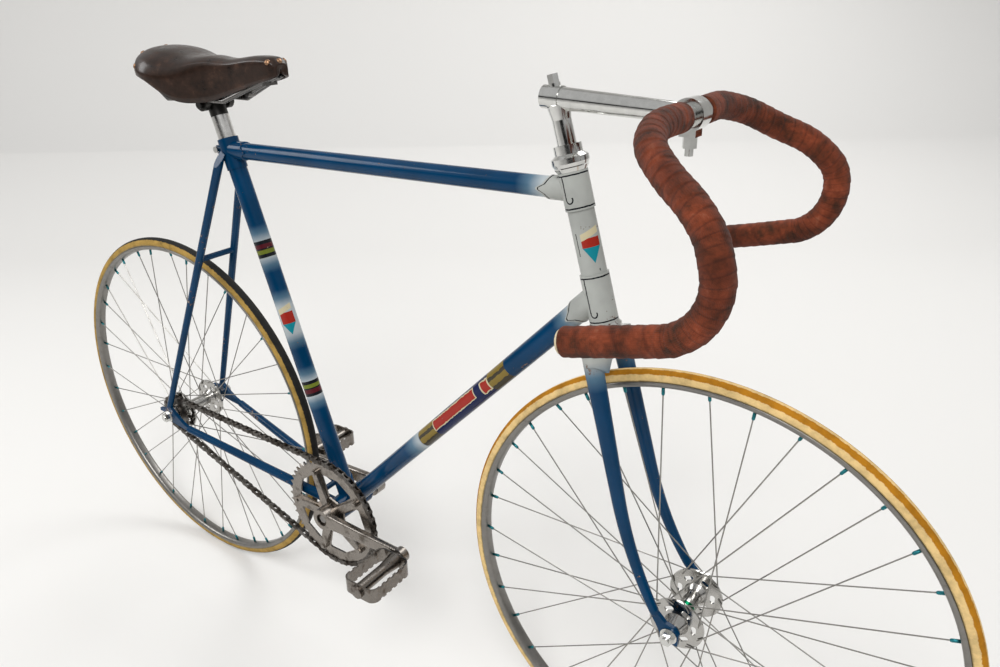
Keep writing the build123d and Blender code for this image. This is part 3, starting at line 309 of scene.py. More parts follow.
def sticker(tree, colour, up, ahead, left, heights):
    """Sticker on the front right of a tube: a slanted cream band and a red band over a teal triangle whose
    width shrinks evenly to nothing downwards. up, ahead and left are metres along the tube and from its
    axis, and heights are where triangle, red band and cream band start and the cream band ends."""
    foot, red_foot, red_top, top = heights
    offset = calc(tree, "MULTIPLY", calc(tree, "ADD", ahead, left), sqrt(0.5))
    facing = calc(tree, "GREATER_THAN", calc(tree, "SUBTRACT", ahead, left), 0.0)
    aside = calc(tree, "ABSOLUTE", offset)
    area = calc(tree, "MULTIPLY", facing, calc(tree, "LESS_THAN", aside, sticker_half))
    slope = sticker_half / (red_foot - foot)
    narrow = calc(tree, "LESS_THAN", aside, calc(tree, "MULTIPLY_ADD", up, slope, -foot * slope))
    slant = calc(tree, "MULTIPLY_ADD", offset, sticker_slant, up)
    for part, tone in (
        (calc(tree, "MULTIPLY", narrow, between(tree, up, foot, red_foot)), teal),
        (between(tree, up, red_foot, red_top), red),
        (between(tree, slant, red_top + sticker_gap, top), cream),
    ):
        colour = blend_colour(tree, calc(tree, "MULTIPLY", area, part), colour, tone)
    return colour


def band_stops(bands):
    """Colour stops of sprayed bands on blue. Each band is (start, end, colours, fade): its colours follow
    each other in even steps, and outside them pale paint fades to blue."""
    stops = [(0.0, blue)]
    for start, end, colours, fade in bands:
        step = (end - start) / len(colours)
        stops += [(start - fade, blue), (start - fade / 2, haze), (start - band_edge, mist)]
        for number, colour in enumerate(colours):
            stops += [(start + step * number, colour), (start + step * (number + 1) - band_edge, colour)]
        stops += [(end, mist), (end + fade / 2, haze), (end + fade, blue)]
    return stops


seat_top = crank_axis + seat_up * seat_tube_length
seat_bands = [
    (0.319, 0.357, (maroon, leaf), 0.042),
    (0.492, 0.566, (mist,), 0.044),
    (0.699, 0.738, (leaf, maroon), 0.042),
]
seat_lines = [
    (0.317, 0.325), (0.3365, 0.340), (0.350, 0.359), (0.697, 0.706), (0.717, 0.7205), (0.731, 0.740),
]
seat_sticker_heights = (0.310, 0.329, 0.348, 0.358)


def seat_marks(tree, colour):
    """Dark lines beside and between the stripes, each between two shares of the tube's length, and the
    sticker half way up the seat tube."""
    share = along(tree, crank_axis, seat_top)
    for low, high in seat_lines:
        colour = blend_colour(tree, between(tree, share, low, high), colour, ink)
    up, ahead, left = (along(tree, crank_axis, crank_axis + way) for way in (seat_up, seat_ahead, leftwards))
    return sticker(tree, colour, up, ahead, left, seat_sticker_heights)


seat_enamel = enamel("seat_tube_enamel", crank_axis, seat_top, band_stops(seat_bands), lines=seat_marks)
dress(seat_enamel, "seat_tube")

top_back, top_front = crank_axis + seat_up * top_tube_on_seat, steer_at(top_tube_on_head)
top_stops = ((0.0, blue), (0.875, blue), (0.905, haze), (0.935, mist), (1.0, mist))
dress(enamel("top_tube_enamel", top_back, top_front, top_stops), "top_tube")

down_front = steer_at(down_tube_on_head)
down_stops = [
    (0.0, blue), (0.325, blue), (0.36, haze), (0.39, mist), (0.395, blue),
    (0.89, blue), (0.915, haze), (0.94, mist), (1.0, mist),
]
# Each part of the transfer: from and to in shares of the tube's length, below and above in metres from its
# axis, and colour. A whole part goes right round the tube.
whole = 0.03
transfer_parts = [
    (0.393, 0.731, -whole, whole, gold), (0.393, 0.731, 0.002, 0.007, umber),
    (0.393, 0.731, -whole, -0.006, umber), (0.455, 0.672, -whole, whole, navy),
    (0.455, 0.620, -0.0035, 0.012, cream), (0.458, 0.617, -0.0022, 0.0105, red),
    (0.642, 0.672, -0.008, 0.010, cream), (0.646, 0.668, -0.0065, 0.0085, red),
]


def transfer(tree, colour):
    """Long transfer on both sides of the tube: gold ends with two dark stripes along them, and between these
    a red upper half edged in cream over a navy lower half. Each part lies between two shares along the tube
    and two heights across it."""
    share = along(tree, crank_axis, down_front)
    run = (down_front - crank_axis).normalized()
    rise = along(tree, crank_axis, crank_axis + Vector((-run.z, 0, run.x)))
    rise = calc(tree, "ADD", rise, wobble(tree, 140.0, 0.002, detail=2.0))
    for low, high, under, over, tone in transfer_parts:
        area = calc(tree, "MULTIPLY", between(tree, share, low, high), between(tree, rise, under, over))
        colour = blend_colour(tree, area, colour, tone)
    return colour


dress(enamel("down_tube_enamel", crank_axis, down_front, down_stops, lines=transfer), "down_tube")
plain_blue = enamel("blue_enamel", chips=0.61)
dress(plain_blue, "seat_stays", "chain_stays", "brake_bridge", "chain_stay_bridge", "bottom_bracket_shell",
      "seat_lug")
dress(enamel("track_end_enamel", chips=0.58), "rear_dropouts")

# Head: head tube and lugs are sprayed pale grey. The lugs are lined in black by hand: rings round the
# sleeve, an outline round the socket's point and a small scroll on each side. A sticker sits between them.
pale = (0.36, 0.37, 0.35)
all_pale = ((0.0, pale), (1.0, pale))
# Heights are along the steering axis from beside the hub, foot and end for each lug's sleeve.
lower_lug, lower_reach, lower_radius = (0.396, 0.456), 0.037, 0.0161
upper_lug, upper_reach, upper_radius = (0.533, 0.577), 0.033, 0.0145
line_half, point_depth, outline_inset, ring_inset = 0.0009, 0.014, 0.0032, 0.003
sleeve_back, stem_ahead = -0.0185, -0.006
scroll_ahead, scroll_up, scroll_end, scroll_radius = -0.0015, 0.014, 0.016, 0.0045
head_sticker_heights = (0.470, 0.489, 0.500, 0.509)
scratch_ahead, scratch_half, scratch_heights = -0.0045, 0.0006, (0.480, 0.507)


def stroke(tree, value, at, half=line_half):
    """1 where a value in metres is within half a line's width of a place, waved a little by the hand."""
    return calc(tree, "COMPARE", calc(tree, "ADD", value, wobble(tree, 130.0, 0.0006, detail=1.0)), at, half)


def head_lug_enamel(name, heights, joint, towards, reach, radius):
    """Enamel of one head lug. The socket's edge lies at its reach from the joint at full radius, 5.6 mm
    further at 0.4 of it, and 14 mm further at the point. The outline runs 3.2 mm inside that edge."""
    foot, end = heights

    def lines(tree, colour):
        """Black lines over the pale enamel: outline, two rings, and the scroll with its stem."""
        up = along(tree, steer_at(0.0), steer_at(1.0))
        ahead = along(tree, steer_at(0.0), steer_at(0.0, 1.0))
        socket_run = (towards - joint).normalized()
        upright = Vector((-socket_run.z, 0, socket_run.x))
        out = along(tree, joint, joint + socket_run)
        rise = calc(tree, "ABSOLUTE", along(tree, joint, joint + upright))
        share = calc(tree, "DIVIDE", rise, radius)
        further = ramp(tree, share, ((0.0, 1.0), (0.08, 1.0), (0.4, 0.4), (1.0, 0.0)))
        edge = calc(tree, "MULTIPLY_ADD", further, point_depth, reach)
        mark = stroke(tree, calc(tree, "SUBTRACT", edge, out), outline_inset)
        on_sleeve = calc(tree, "GREATER_THAN", ahead, sleeve_back)
        rings = [calc(tree, "MULTIPLY", on_sleeve, stroke(tree, up, at))
                 for at in (foot + ring_inset, end - ring_inset)]
        on_stem = between(tree, up, foot + scroll_up, end - ring_inset)
        stem = calc(tree, "MULTIPLY", stroke(tree, ahead, stem_ahead), on_stem)
        to_centre = node(tree, "CombineXYZ", {
            0: calc(tree, "SUBTRACT", ahead, scroll_ahead), 1: calc(tree, "SUBTRACT", up, foot + scroll_up),
        }).outputs[0]
        distance = node(tree, "VectorMath", {0: to_centre}, operation="LENGTH").outputs["Value"]
        on_scroll = between(tree, up, foot, foot + scroll_end)
        scroll = calc(tree, "MULTIPLY", stroke(tree, distance, scroll_radius), on_scroll)
        for line in (*rings, stem, scroll):
            mark = calc(tree, "MAXIMUM", mark, line)
        return blend_colour(tree, mark, colour, ink)

    return enamel(name, stops=all_pale, chips=0.59, lines=lines)


def head_marks(tree, colour):
    """The sticker on the head tube, with a long scratch and short fine ones beside it."""
    up = along(tree, steer_at(0.0), steer_at(1.0))
    ahead = along(tree, steer_at(0.0), steer_at(0.0, 1.0))
    left = along(tree, front_axle, front_axle + leftwards)
    colour = sticker(tree, colour, up, ahead, left, head_sticker_heights)
    on_scratch = between(tree, up, *scratch_heights)
    scratch = calc(tree, "MULTIPLY", stroke(tree, ahead, scratch_ahead, scratch_half), on_scratch)
    colour = blend_colour(tree, scratch, colour, ink)
    streaks = noise(tree, 60.0, detail=3.0, vector=spot(tree, (3, 3, 0.6)))
    return blend_colour(tree, ramp(tree, streaks, ((0.68, 0.0), (0.70, 0.9))), colour, ink)


dress(enamel("head_tube_enamel", stops=all_pale, chips=0.66, lines=head_marks), "head_tube")
for name, heights, joint, towards, reach, radius in (
    ("upper_head_lug", upper_lug, top_front, top_back, upper_reach, upper_radius),
    ("lower_head_lug", lower_lug, down_front, crank_axis, lower_reach, lower_radius),
):
    dress(head_lug_enamel(name + "_enamel", heights, joint, towards, reach, radius), name)

# Headset, stem and bar: turned steel cups and races pressed on the head, a forged stem held in the steerer
# by its expander bolt, and a bent steel bar. All are chrome plated, as is the bolt that closes the seat lug.
# The steerer is bare steel.
dull_stain = (0.16, 0.14, 0.12)
clip_green = (0.0, 0.12, 0.05)


def plated(name, colour, rough, stain=dull_stain, dull=0.64, scratch=0.0001, clip=None):
    """Plated or polished metal with faint scratches, and dull stains where a noise height passes dull. clip
    is a pair of points, and the metal is green between them."""
    made, tree, surface = shader(name, metal=1.0)
    patch = noise(tree, 45.0, detail=5.0, roughness=0.65)
    dirt = ramp(tree, patch, ((dull, 0.0), (dull + 0.12, 0.8)))
    shade = ramp(tree, noise(tree, 120.0), ((0.35, 0.0), (0.7, 1.0)))
    tone = blend_colour(tree, shade, colour, tuple(0.88 * part for part in colour))
    if clip:
        tone = blend_colour(tree, between(tree, along(tree, *clip), 0.0, 1.0), tone, clip_green)
    tree.links.new(blend_colour(tree, dirt, tone, stain), surface.inputs["Base Color"])
    roughness = ramp(tree, patch, ((0.35, rough), (0.75, min(1.0, rough + 0.2))))
    tree.links.new(roughness, surface.inputs["Roughness"])
    bump(tree, surface, noise(tree, 420.0, detail=2.0, vector=spot(tree, (1, 1, 0.15))), 0.3, scratch)
    return made


chrome = plated("chrome", (0.64, 0.64, 0.62), 0.04, dull=0.68, scratch=0.00004)
worn_steel = plated("worn_steel", (0.26, 0.25, 0.24), 0.32, dull=0.55)
dress(chrome, "headset_cups", "headset_races", "stem", "expander_bolt", "handlebar", "seat_binder_bolt")
dress(worn_steel, "fork_steerer")

# Fork: a sloping crown, oval blades that bend forward to flat ends. The section narrows and rounds from
# crown to tip. Crown and blade tops are sprayed pale.
fork_top = 0.383
blade_top, blade_foot, bend_from = 0.375, 0.022, 0.180
bend_reach, blade_behind = 0.031, 0.005
crown_aside, tip_aside = 0.036, 0.055
crown_half_width, crown_half_length, tip_half, tip_round = 0.010, 0.013, 0.006, 0.02
blade_rows, blade_sides = 70, 28
fork_stops = ((0.0, blue), (0.84, blue), (0.89, haze), (0.94, pale), (1.0, pale))
fork_enamel = enamel("fork_enamel", steer_at(0.0), steer_at(fork_top), fork_stops, chips=0.61)


def grid_faces(rows, columns, wrap_rows=False):
    """Four-cornered faces of a grid of points whose columns close into a ring, and each corner's share of
    the rows and of the columns. wrap_rows closes the rows into a ring too."""
    steps = rows if wrap_rows else rows - 1
    row, column = np.arange(steps)[:, None, None], np.arange(columns)[None, :, None]
    row_step, column_step = np.array([0, 0, 1, 1]), np.array([0, 1, 1, 0])
    faces = ((row + row_step) % rows) * columns + (column + column_step) % columns
    shares = np.broadcast_arrays((row + row_step) / steps, (column + column_step) / columns)
    return faces.reshape(-1, 4), np.stack(shares, -1).reshape(-1, 2)


def unit(vectors):
    """Vectors scaled to length one."""
    return vectors / np.linalg.norm(vectors, axis=-1, keepdims=True)


def blade_surface(side):
    """Blade's surface: an oval round a line that runs straight down from the crown and then forward by the
    square of its way into the bend. The oval's two half widths shrink evenly, and to nothing at both ends."""
    share = np.linspace(0, 1, blade_rows)
    up = np.linspace(blade_top, blade_foot, blade_rows)
    ahead = bend_reach * np.clip((bend_from - up) / bend_from, 0, None) ** 2 - blade_behind
    aside = side * np.linspace(crown_aside, tip_aside, blade_rows)
    upwards, forwards, sideways = (np.array(way) for way in (steer_up, steer_ahead, leftwards))
    line = (np.array(steer_at(0.0)) + up[:, None] * upwards + ahead[:, None] * forwards
            + aside[:, None] * sideways)
    run = unit(np.gradient(line, axis=0))
    wide = unit(sideways - run * run[:, 1:2])
    long = np.cross(run, wide)
    into_round = np.clip((share - 1 + tip_round) / tip_round, 0, 1)
    closing = np.sqrt(np.clip(1 - into_round ** 2, 0, 1)) * (share > 0)
    half_width = np.linspace(crown_half_width, tip_half, blade_rows) * closing
    half_length = np.linspace(crown_half_length, tip_half, blade_rows) * closing
    turn = np.linspace(0, 2 * pi, blade_sides, endpoint=False)
    return (line[:, None] + half_width[:, None, None] * np.cos(turn)[None, :, None] * wide[:, None]
            + half_length[:, None, None] * np.sin(turn)[None, :, None] * long[:, None])


blade_faces = grid_faces(blade_rows, blade_sides)[0]
blade_faces = np.concatenate([blade_faces, blade_faces + blade_rows * blade_sides])
fork = mesh_object("oval_blades", [blade_surface(-1), blade_surface(1)], blade_faces, poles=True)
fork.data.materials.append(fork_enamel)
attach(fork, "steering")
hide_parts("fork_blades")
dress(fork_enamel, "fork_crown", "fork_tips")

# Bar: cloth tape wound in an overlapping spiral over the bends and drops, ending in cream rubber plugs.
# Its path follows the bar through a few knots along each bend and an arc for the hook.
bar_middle = np.array(middle_of("handlebar"))
bar_half = 0.198
hook_ahead, hook_below, hook_radius = 0.0485, 0.103, 0.061
drop_end_ahead, drop_end_below = -0.030, 0.185
tape_radius, tape_pitch, tape_lip, lip_from = 0.01525, 0.0125, 0.0006, 0.84
ripple_height, ripples_round, ripples_along = 0.0001, 5, 90
tape_steps, tape_sides = 640, 36
hook_turns = np.radians(np.arange(20, -90, -20))
hook_knots = np.stack([
    hook_ahead + hook_radius * np.cos(hook_turns), np.full_like(hook_turns, bar_half),
    hook_below - hook_radius * np.sin(hook_turns),
], 1)
# Each knot of the bend: ahead of the bar's middle, aside from it and below it.
bend_knots = [
    (0.0, 0.030, 0.0), (0.0, 0.075, 0.0), (0.004, 0.104, 0.004), (0.017, 0.134, 0.013),
    (0.043, 0.157, 0.029), (0.073, 0.176, 0.045), (0.095, 0.189, 0.064),
]
tape_knots = np.vstack([bend_knots, hook_knots, [(drop_end_ahead, bar_half, drop_end_below)]])


def through(knots, count):
    """Points spaced evenly in knot number on the smooth curve through knots, each piece a cubic whose slope
    at a knot is half the step between its neighbours."""
    knots = np.asarray(knots, float)
    padded = np.concatenate([2 * knots[:1] - knots[1:2], knots, 2 * knots[-1:] - knots[-2:-1]])
    where = np.linspace(0, len(knots) - 1, count)
    piece = np.minimum(where.astype(int), len(knots) - 2)
    share = (where - piece).reshape(-1, *[1] * (knots.ndim - 1))
    a, b, c, d = (padded[piece + step] for step in range(4))
    return 0.5 * (2 * b + (c - a) * share + (2 * a - 5 * b + 4 * c - d) * share ** 2
                  + (3 * b - a - 3 * c + d) * share ** 3)


def tape_surface(side):
    """Spiral of tape: round the bar's curve at each step stands a circle whose radius grows a little across
    each turn of the tape and drops at its lip. Both ends close on the curve."""
    path = through(tape_knots, tape_steps) * (1, side, -1) + bar_middle
    run = unit(np.gradient(path, axis=0))
    length = np.concatenate([[0], np.cumsum(np.linalg.norm(np.diff(path, axis=0), axis=1))])
    never_along = (0, -0.3 * side, 1.0)
    first = unit(np.cross(run, never_along))
    second = np.cross(run, first)
    turn = np.linspace(0, 2 * pi, tape_sides, endpoint=False)
    phase = (length[:, None] / tape_pitch - side * turn / (2 * pi)) % 1.0
    swell = tape_lip * np.minimum(phase / lip_from, (1 - phase) / (1 - lip_from))
    ripple = ripple_height * np.sin(ripples_round * turn + ripples_along * length[:, None])
    radius = tape_radius - tape_lip + swell + ripple
    ring = first[:, None] * np.cos(turn)[None, :, None] + second[:, None] * np.sin(turn)[None, :, None]
    points = path[:, None] + radius[..., None] * ring
    ends = [np.broadcast_to(path[step], (1, tape_sides, 3)) for step in (0, -1)]
    points = np.concatenate([ends[0], points, ends[1]])
    faces, shares = grid_faces(*points.shape[:2])
    return points, faces, shares * (length[-1] / tape_pitch, 1)


tape_sockets = {"Sheen_Weight": 0.06, "Sheen_Roughness": 0.5, "Specular_IOR_Level": 0.22}
tape, tree, surface = shader("cloth_tape", rough=0.9, **tape_sockets)
blotch = noise(tree, 42.0, detail=7.0, roughness=0.72, distortion=0.3)
tone = ramp(tree, blotch, (
    (0.34, (0.040, 0.014, 0.006)), (0.47, (0.112, 0.025, 0.009)), (0.60, (0.195, 0.040, 0.015)),
    (0.78, (0.27, 0.10, 0.055)),
))
shade = ramp(tree, noise(tree, 20.0, detail=3.0), ((0.36, 0.5), (0.64, 1.15)))
tone = blend_colour(tree, 1.0, tone, shade, "MULTIPLY")
tape_uv = node(tree, "UVMap", uv_map="UVMap").outputs[0]
wound_way = node(tree, "SeparateXYZ", {0: tape_uv}).outputs
turn_share = calc(tree, "FRACT", calc(tree, "SUBTRACT", wound_way["X"], wound_way["Y"]))
# Painted shade: the tape darkens towards the crease at the edge of each turn, where the next turn's lip lies
# over it, and grows a touch lighter towards the lip.
wrap_crease_shade = ramp(tree, turn_share, ((0.0, 0.35), (0.10, 1.0), (0.84, 1.05), (0.98, 0.35)))
tree.links.new(blend_colour(tree, 0.5, tone, wrap_crease_shade, "MULTIPLY"), surface.inputs["Base Color"])
weave_across = node(tree, "TexWave", {"Vector": tape_uv, "Scale": 6.0}, bands_direction="X").outputs["Fac"]
weave_round = node(tree, "TexWave", {"Vector": tape_uv, "Scale": 16.0}, bands_direction="Y").outputs["Fac"]
weave = calc(tree, "MULTIPLY_ADD", blotch, 0.6, calc(tree, "MULTIPLY", weave_across, weave_round))
bump(tree, surface, weave, 0.6, 0.0005)
for side, name in ((-1, "right"), (1, "left")):
    points, faces, shares = tape_surface(side)
    wound = mesh_object("wound_tape_" + name, points, faces, uv=shares, poles=True)
    wound.data.materials.append(tape)
    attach(wound, "steering")
    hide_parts("tape_" + name)

plug_rubber, tree, surface = shader("plug_rubber", rough=0.7)
plug_tone = ramp(tree, noise(tree, 150.0), ((0.3, (0.50, 0.40, 0.24)), (0.7, (0.68, 0.60, 0.42))))
tree.links.new(plug_tone, surface.inputs["Base Color"])
bump(tree, surface, noise(tree, 500.0), 0.3, 0.0003)
dress(plug_rubber, "bar_end_plugs")

# Tyres and rims: tubular tyres glued into the beds of grey alloy sprint rims. The front tyre has two tan
# bands beside its pale crown, the rear a black tread between amber walls.
tyre_radius, tyre_half, bed_half = 0.335, 0.0098, 0.0097
bed_edge, rim_half, rim_inner, rim_lip = 0.3213, 0.0102, 0.3125, 0.001
rim_squareness = 0.6
bed_from, bed_to = -24, -156
tyre_sides, rim_points, bed_points, wheel_steps = 36, 17, 13, 256
glue, wall_cream, tan = (0.34, 0.25, 0.11), (0.76, 0.54, 0.24), (0.44, 0.18, 0.006)
black, amber = (0.016, 0.015, 0.014), (0.40, 0.25, 0.06)
front_stops = [
    (0.0, glue), (0.20, glue), (0.22, wall_cream), (0.33, wall_cream), (0.34, tan), (0.455, tan),
    (0.465, wall_cream), (0.535, wall_cream), (0.545, tan), (0.66, tan), (0.67, wall_cream),
    (0.78, wall_cream), (0.81, glue),
]
rear_stops = [
    (0.0, glue), (0.19, glue), (0.23, amber), (0.36, amber), (0.375, black), (0.625, black),
    (0.64, amber), (0.77, amber), (0.81, glue),
]


def turned(centre, profile):
    """Profile of (aside, out from the axle) turned round an axle: every point runs on a circle about it."""
    turn = np.linspace(0, 2 * pi, wheel_steps, endpoint=False)[:, None]
    aside, out = profile.T
    points = np.stack([np.cos(turn) * out, aside + 0 * turn, np.sin(turn) * out], -1) + np.array(centre)
    faces, shares = grid_faces(wheel_steps, len(profile), wrap_rows=True)
    return points, faces[:, ::-1], shares.reshape(-1, 4, 2)[:, ::-1]


def tyre_arc(half, turn):
    """Points of (aside, out) on a circle of a half width about the middle of the tyre's section."""
    return np.stack([half * np.cos(turn), tyre_radius - tyre_half + half * np.sin(turn)], 1)


def tyre_material(name, stops, worn):
    """Tubular tyre's colours round its section, from the rim over one wall and the tread to the other. Dirt
    darkens it down to a share worn."""
    made, tree, surface = shader(name, rough=0.75, Specular_IOR_Level=0.2)
    share = node(tree, "SeparateXYZ", {0: node(tree, "UVMap", uv_map="UVMap").outputs[0]}).outputs["Y"]
    share = calc(tree, "ADD", share, wobble(tree, 130.0, 0.045, detail=6.0, roughness=0.75))
    dirt = ramp(tree, noise(tree, 45.0, detail=6.0, roughness=0.7), ((0.42, 1.0), (0.75, worn)))
    colour = blend_colour(tree, 1.0, ramp(tree, share, stops), dirt, "MULTIPLY")
    tree.links.new(colour, surface.inputs["Base Color"])
    bump(tree, surface, noise(tree, 700.0, detail=3.0), 0.5, 0.0004)
    return made


tyre_profile = tyre_arc(tyre_half, np.linspace(0, 2 * pi, tyre_sides, endpoint=False) - pi / 2)
rim_turn = np.linspace(-pi, 0, rim_points)
box_round = np.sign(np.cos(rim_turn)) * np.abs(np.cos(rim_turn)) ** rim_squareness
rim_wall = bed_edge - rim_lip
rim_low = np.stack([rim_half * box_round, rim_wall + (rim_wall - rim_inner) * np.sin(rim_turn)], 1)
rim_profile = np.vstack([rim_low, tyre_arc(bed_half, np.radians(np.linspace(bed_from, bed_to, bed_points)))])
rim_alloy = plated("rim_alloy", (0.24, 0.23, 0.215), 0.3, dull=0.6)
tyre_looks = (("front", front_axle, front_stops, 0.55), ("rear", rear_axle, rear_stops, 0.45))
for end, axle, stops, worn in tyre_looks:
    rubber = tyre_material(end + "_tyre_rubber", stops, worn)
    for kind, profile, material in (("tyre", tyre_profile, rubber), ("rim", rim_profile, rim_alloy)):
        points, faces, shares = turned(axle, profile)
        piece = mesh_object(f"{end}_wheel_{kind}", points, faces, uv=shares)
        piece.data.materials.append(material)
        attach(piece, end + "_wheel")
        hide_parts(f"{end}_{kind}")

# Spokes and hubs: plain steel spokes, 36 to a wheel, laced between polished high flange hubs and blue-green
# nipples in the rim. A green clip sits round half of the front hub's barrel.
flange_spokes, crossed_steps = 18, 3
spoke_step = 360 / flange_spokes
front_flange_y, rear_flange_y = 0.033, 0.031
hole_radius, rim_end_radius, rim_end_aside = 0.031, 0.311, 0.0025
lead_aside, head_aside = 0.0024, 0.0013
nipple_sunk, nipple_sides = 0.0020, 8
nipple_profile = [(0, 0), (0.0021, 0), (0.0021, 0.009), (0.0015, 0.0105), (0, 0.0105)]
clip_width = 0.009


def copies(points, faces, origins, axes):
    """A small form copied to many places: each point is the place plus its three coordinates along the
    place's own axes."""
    placed = np.asarray(origins)[:, None] + np.einsum("pc,nck->npk", points, axes)
    step = np.arange(len(origins))[:, None, None] * len(points)
    return placed.reshape(-1, 3), (faces + step).reshape(-1, faces.shape[1])


def lathed(profile, sides):
    """Profile of (out, along) turned about the third axis."""
    profile = np.asarray(profile, float)
    turn = np.linspace(0, 2 * pi, sides, endpoint=False)[None, :]
    points = np.stack([
        profile[:, :1] * np.cos(turn), profile[:, :1] * np.sin(turn), profile[:, 1:] + 0 * turn,
    ], -1)
    return points.reshape(-1, 3), grid_faces(len(profile), sides)[0]


def axes_along(runs):
    """Three axes for each direction: the last along it, the first square to it and to a slanted direction
    that no spoke or rivet has."""
    slanted = (0.12, 0.93, 0.31)
    runs = unit(np.asarray(runs, float))
    first = unit(np.cross(runs, slanted))
    return np.stack([first, np.cross(runs, first), runs], 1)


def spoke_lines(flange_y):
    """Hub end and rim end of each spoke about the axle. Each crosses three others of its flange: the rim end
    is three steps round from the hub end, forward and back in turn."""
    number = np.tile(np.arange(flange_spokes), 2)
    flange = np.repeat([-1, 1], flange_spokes)
    lead = np.where(number % 2, 1, -1)
    hub_turn = np.radians(spoke_step * number + spoke_step / 2 * (flange > 0))
    rim_turn = hub_turn + lead * radians(crossed_steps * spoke_step)
    aside = flange * (flange_y + lead_aside * lead + head_aside * (lead > 0))
    hub_ends = np.stack([hole_radius * np.cos(hub_turn), aside, hole_radius * np.sin(hub_turn)], 1)
    rim_ends = np.stack([
        rim_end_radius * np.cos(rim_turn), rim_end_aside * flange, rim_end_radius * np.sin(rim_turn),
    ], 1)
    return hub_ends, rim_ends


spoke_steel = plated("spoke_steel", (0.30, 0.29, 0.27), 0.3)
nipple_brass = plated("nipple_brass", (0.03, 0.20, 0.23), 0.35, stain=(0.02, 0.06, 0.06), dull=0.55)
front_clip = (front_axle - leftwards * clip_width, front_axle)
hub_looks = (("front", front_axle, front_flange_y, front_clip), ("rear", rear_axle, rear_flange_y, None))
for end, axle, flange_y, clip in hub_looks:
    hub_ends, rim_ends = spoke_lines(flange_y)
    runs = unit(hub_ends - rim_ends)
    starts = rim_ends - runs * nipple_sunk + np.array(axle)
    nipple_form = copies(*lathed(nipple_profile, nipple_sides), starts, axes_along(runs))
    nipples = mesh_object(end + "_nipples", *nipple_form, poles=True)
    nipples.data.materials.append(nipple_brass)
    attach(nipples, end + "_wheel")
    hub_alloy = plated(end + "_hub_alloy", (0.46, 0.45, 0.43), 0.10, dull=0.66, scratch=0.00004, clip=clip)
    dress(hub_alloy, end + "_hub")
    dress(spoke_steel, end + "_spokes")
    dress(chrome, end + "_axle")

# Cranks and pedals: dull alloy ring and cranks bolted to a steel spindle, a steel sprocket screwed to the
# rear hub, and quill pedals of plated steel.
drive_alloy = plated("drive_alloy", (0.27, 0.245, 0.22), 0.2, stain=(0.07, 0.055, 0.04), dull=0.54)
pedal_steel = plated("pedal_steel", (0.22, 0.20, 0.18), 0.2, stain=(0.07, 0.05, 0.035), dull=0.54)
greasy_steel = plated("greasy_steel", (0.13, 0.12, 0.11), 0.35, stain=(0.035, 0.025, 0.018), dull=0.45)
dress(drive_alloy, "chainring", "crank_right", "crank_left")
dress(pedal_steel, "pedal_right", "pedal_left")
dress(greasy_steel, "sprocket")
dress(worn_steel, "crank_spindle", "pedal_spindles")

# Chain: a roller chain of greasy steel round ring and sprocket. Its paired plates are inner and outer in
# turn, with a roller between them at each riveted pin.
chain_pitch, chain_line = 0.0127, 0.045
ring_teeth, sprocket_teeth = 48, 16
plate_end, plate_waist, plate_thick = 0.0042, 0.0032, 0.0011
inner_aside, outer_aside = 0.0026, 0.0037
pin_radius, pin_half, pin_sides = 0.0018, 0.0047, 8
roller_radius, roller_half, roller_sides = 0.0038, 0.0021, 10
ring_radius, sprocket_radius = (chain_pitch / 2 / sin(pi / teeth) for teeth in (ring_teeth, sprocket_teeth))
drop = crank_axis - rear_axle
apart = hypot(drop.x, drop.z)
tilt = atan2(drop.z, drop.x)
spread = asin((ring_radius - sprocket_radius) / apart)
straight = sqrt(apart ** 2 - (ring_radius - sprocket_radius) ** 2)
ring_wrap, sprocket_wrap = ring_radius * (pi + 2 * spread), sprocket_radius * (pi - 2 * spread)
loop = 2 * straight + ring_wrap + sprocket_wrap
link_count = 2 * round(loop / chain_pitch / 2)
upper_turn, lower_turn = tilt + pi / 2 + spread, tilt - pi / 2 - spread


def loop_points(run):
    """Points of the chain's loop by the way run along it: up the tangent from the sprocket's top, round the
    ring clockwise, back on the lower tangent and round the sprocket."""
    run = (run % loop)[:, None]
    ring, sprocket = np.array((drop.x, drop.z)), np.zeros(2)

    def round_about(centre, radius, turn):
        return centre + radius * np.concatenate([np.cos(turn), np.sin(turn)], 1)

    def ahead(turn, way):
        return way * np.array((sin(turn), -cos(turn)))

    first, second, third = straight, straight + ring_wrap, 2 * straight + ring_wrap
    upper = round_about(sprocket, sprocket_radius, 0 * run + upper_turn) + ahead(upper_turn, run)
    lower = round_about(ring, ring_radius, 0 * run + lower_turn) + ahead(lower_turn, run - second)
    about_ring = round_about(ring, ring_radius, upper_turn - (run - first) / ring_radius)
    about_sprocket = round_about(sprocket, sprocket_radius, lower_turn - (run - third) / sprocket_radius)
    return np.select([run < first, run < second, run < third], [upper, about_ring, lower], about_sprocket)


def plate(thickness):
    """Link plate from pin to pin: two round ends with a waist between, as two fans about its middle and a
    rim between them."""
    turn = np.radians(np.linspace(-80, 80, 5))
    ends = plate_end * np.stack([np.cos(turn), np.sin(turn)], 1)
    middle, waist = np.array([(chain_pitch / 2, 0.0)]), (0, plate_waist)
    outline = np.concatenate([ends + (chain_pitch, 0), middle + waist, -ends, middle - waist, middle])
    count = len(outline) - 1
    points = np.concatenate([np.insert(outline, 2, half, 1) for half in (-thickness / 2, thickness / 2)])
    here, after = np.arange(count), (np.arange(count) + 1) % count
    back = np.stack([after, here, np.full(count, count)], 1)
    front = np.stack([here, after, np.full(count, count)], 1) + count + 1
    rim = np.concatenate([np.stack([here, after, after + count + 1], 1),
                          np.stack([here, after + count + 1, here + count + 1], 1)])
    return points, np.concatenate([back, front, rim])


def drum(radius, half, sides):
    """Short closed cylinder about the third axis."""
    return lathed([(0, -half), (radius, -half), (radius, half), (0, half)], sides)


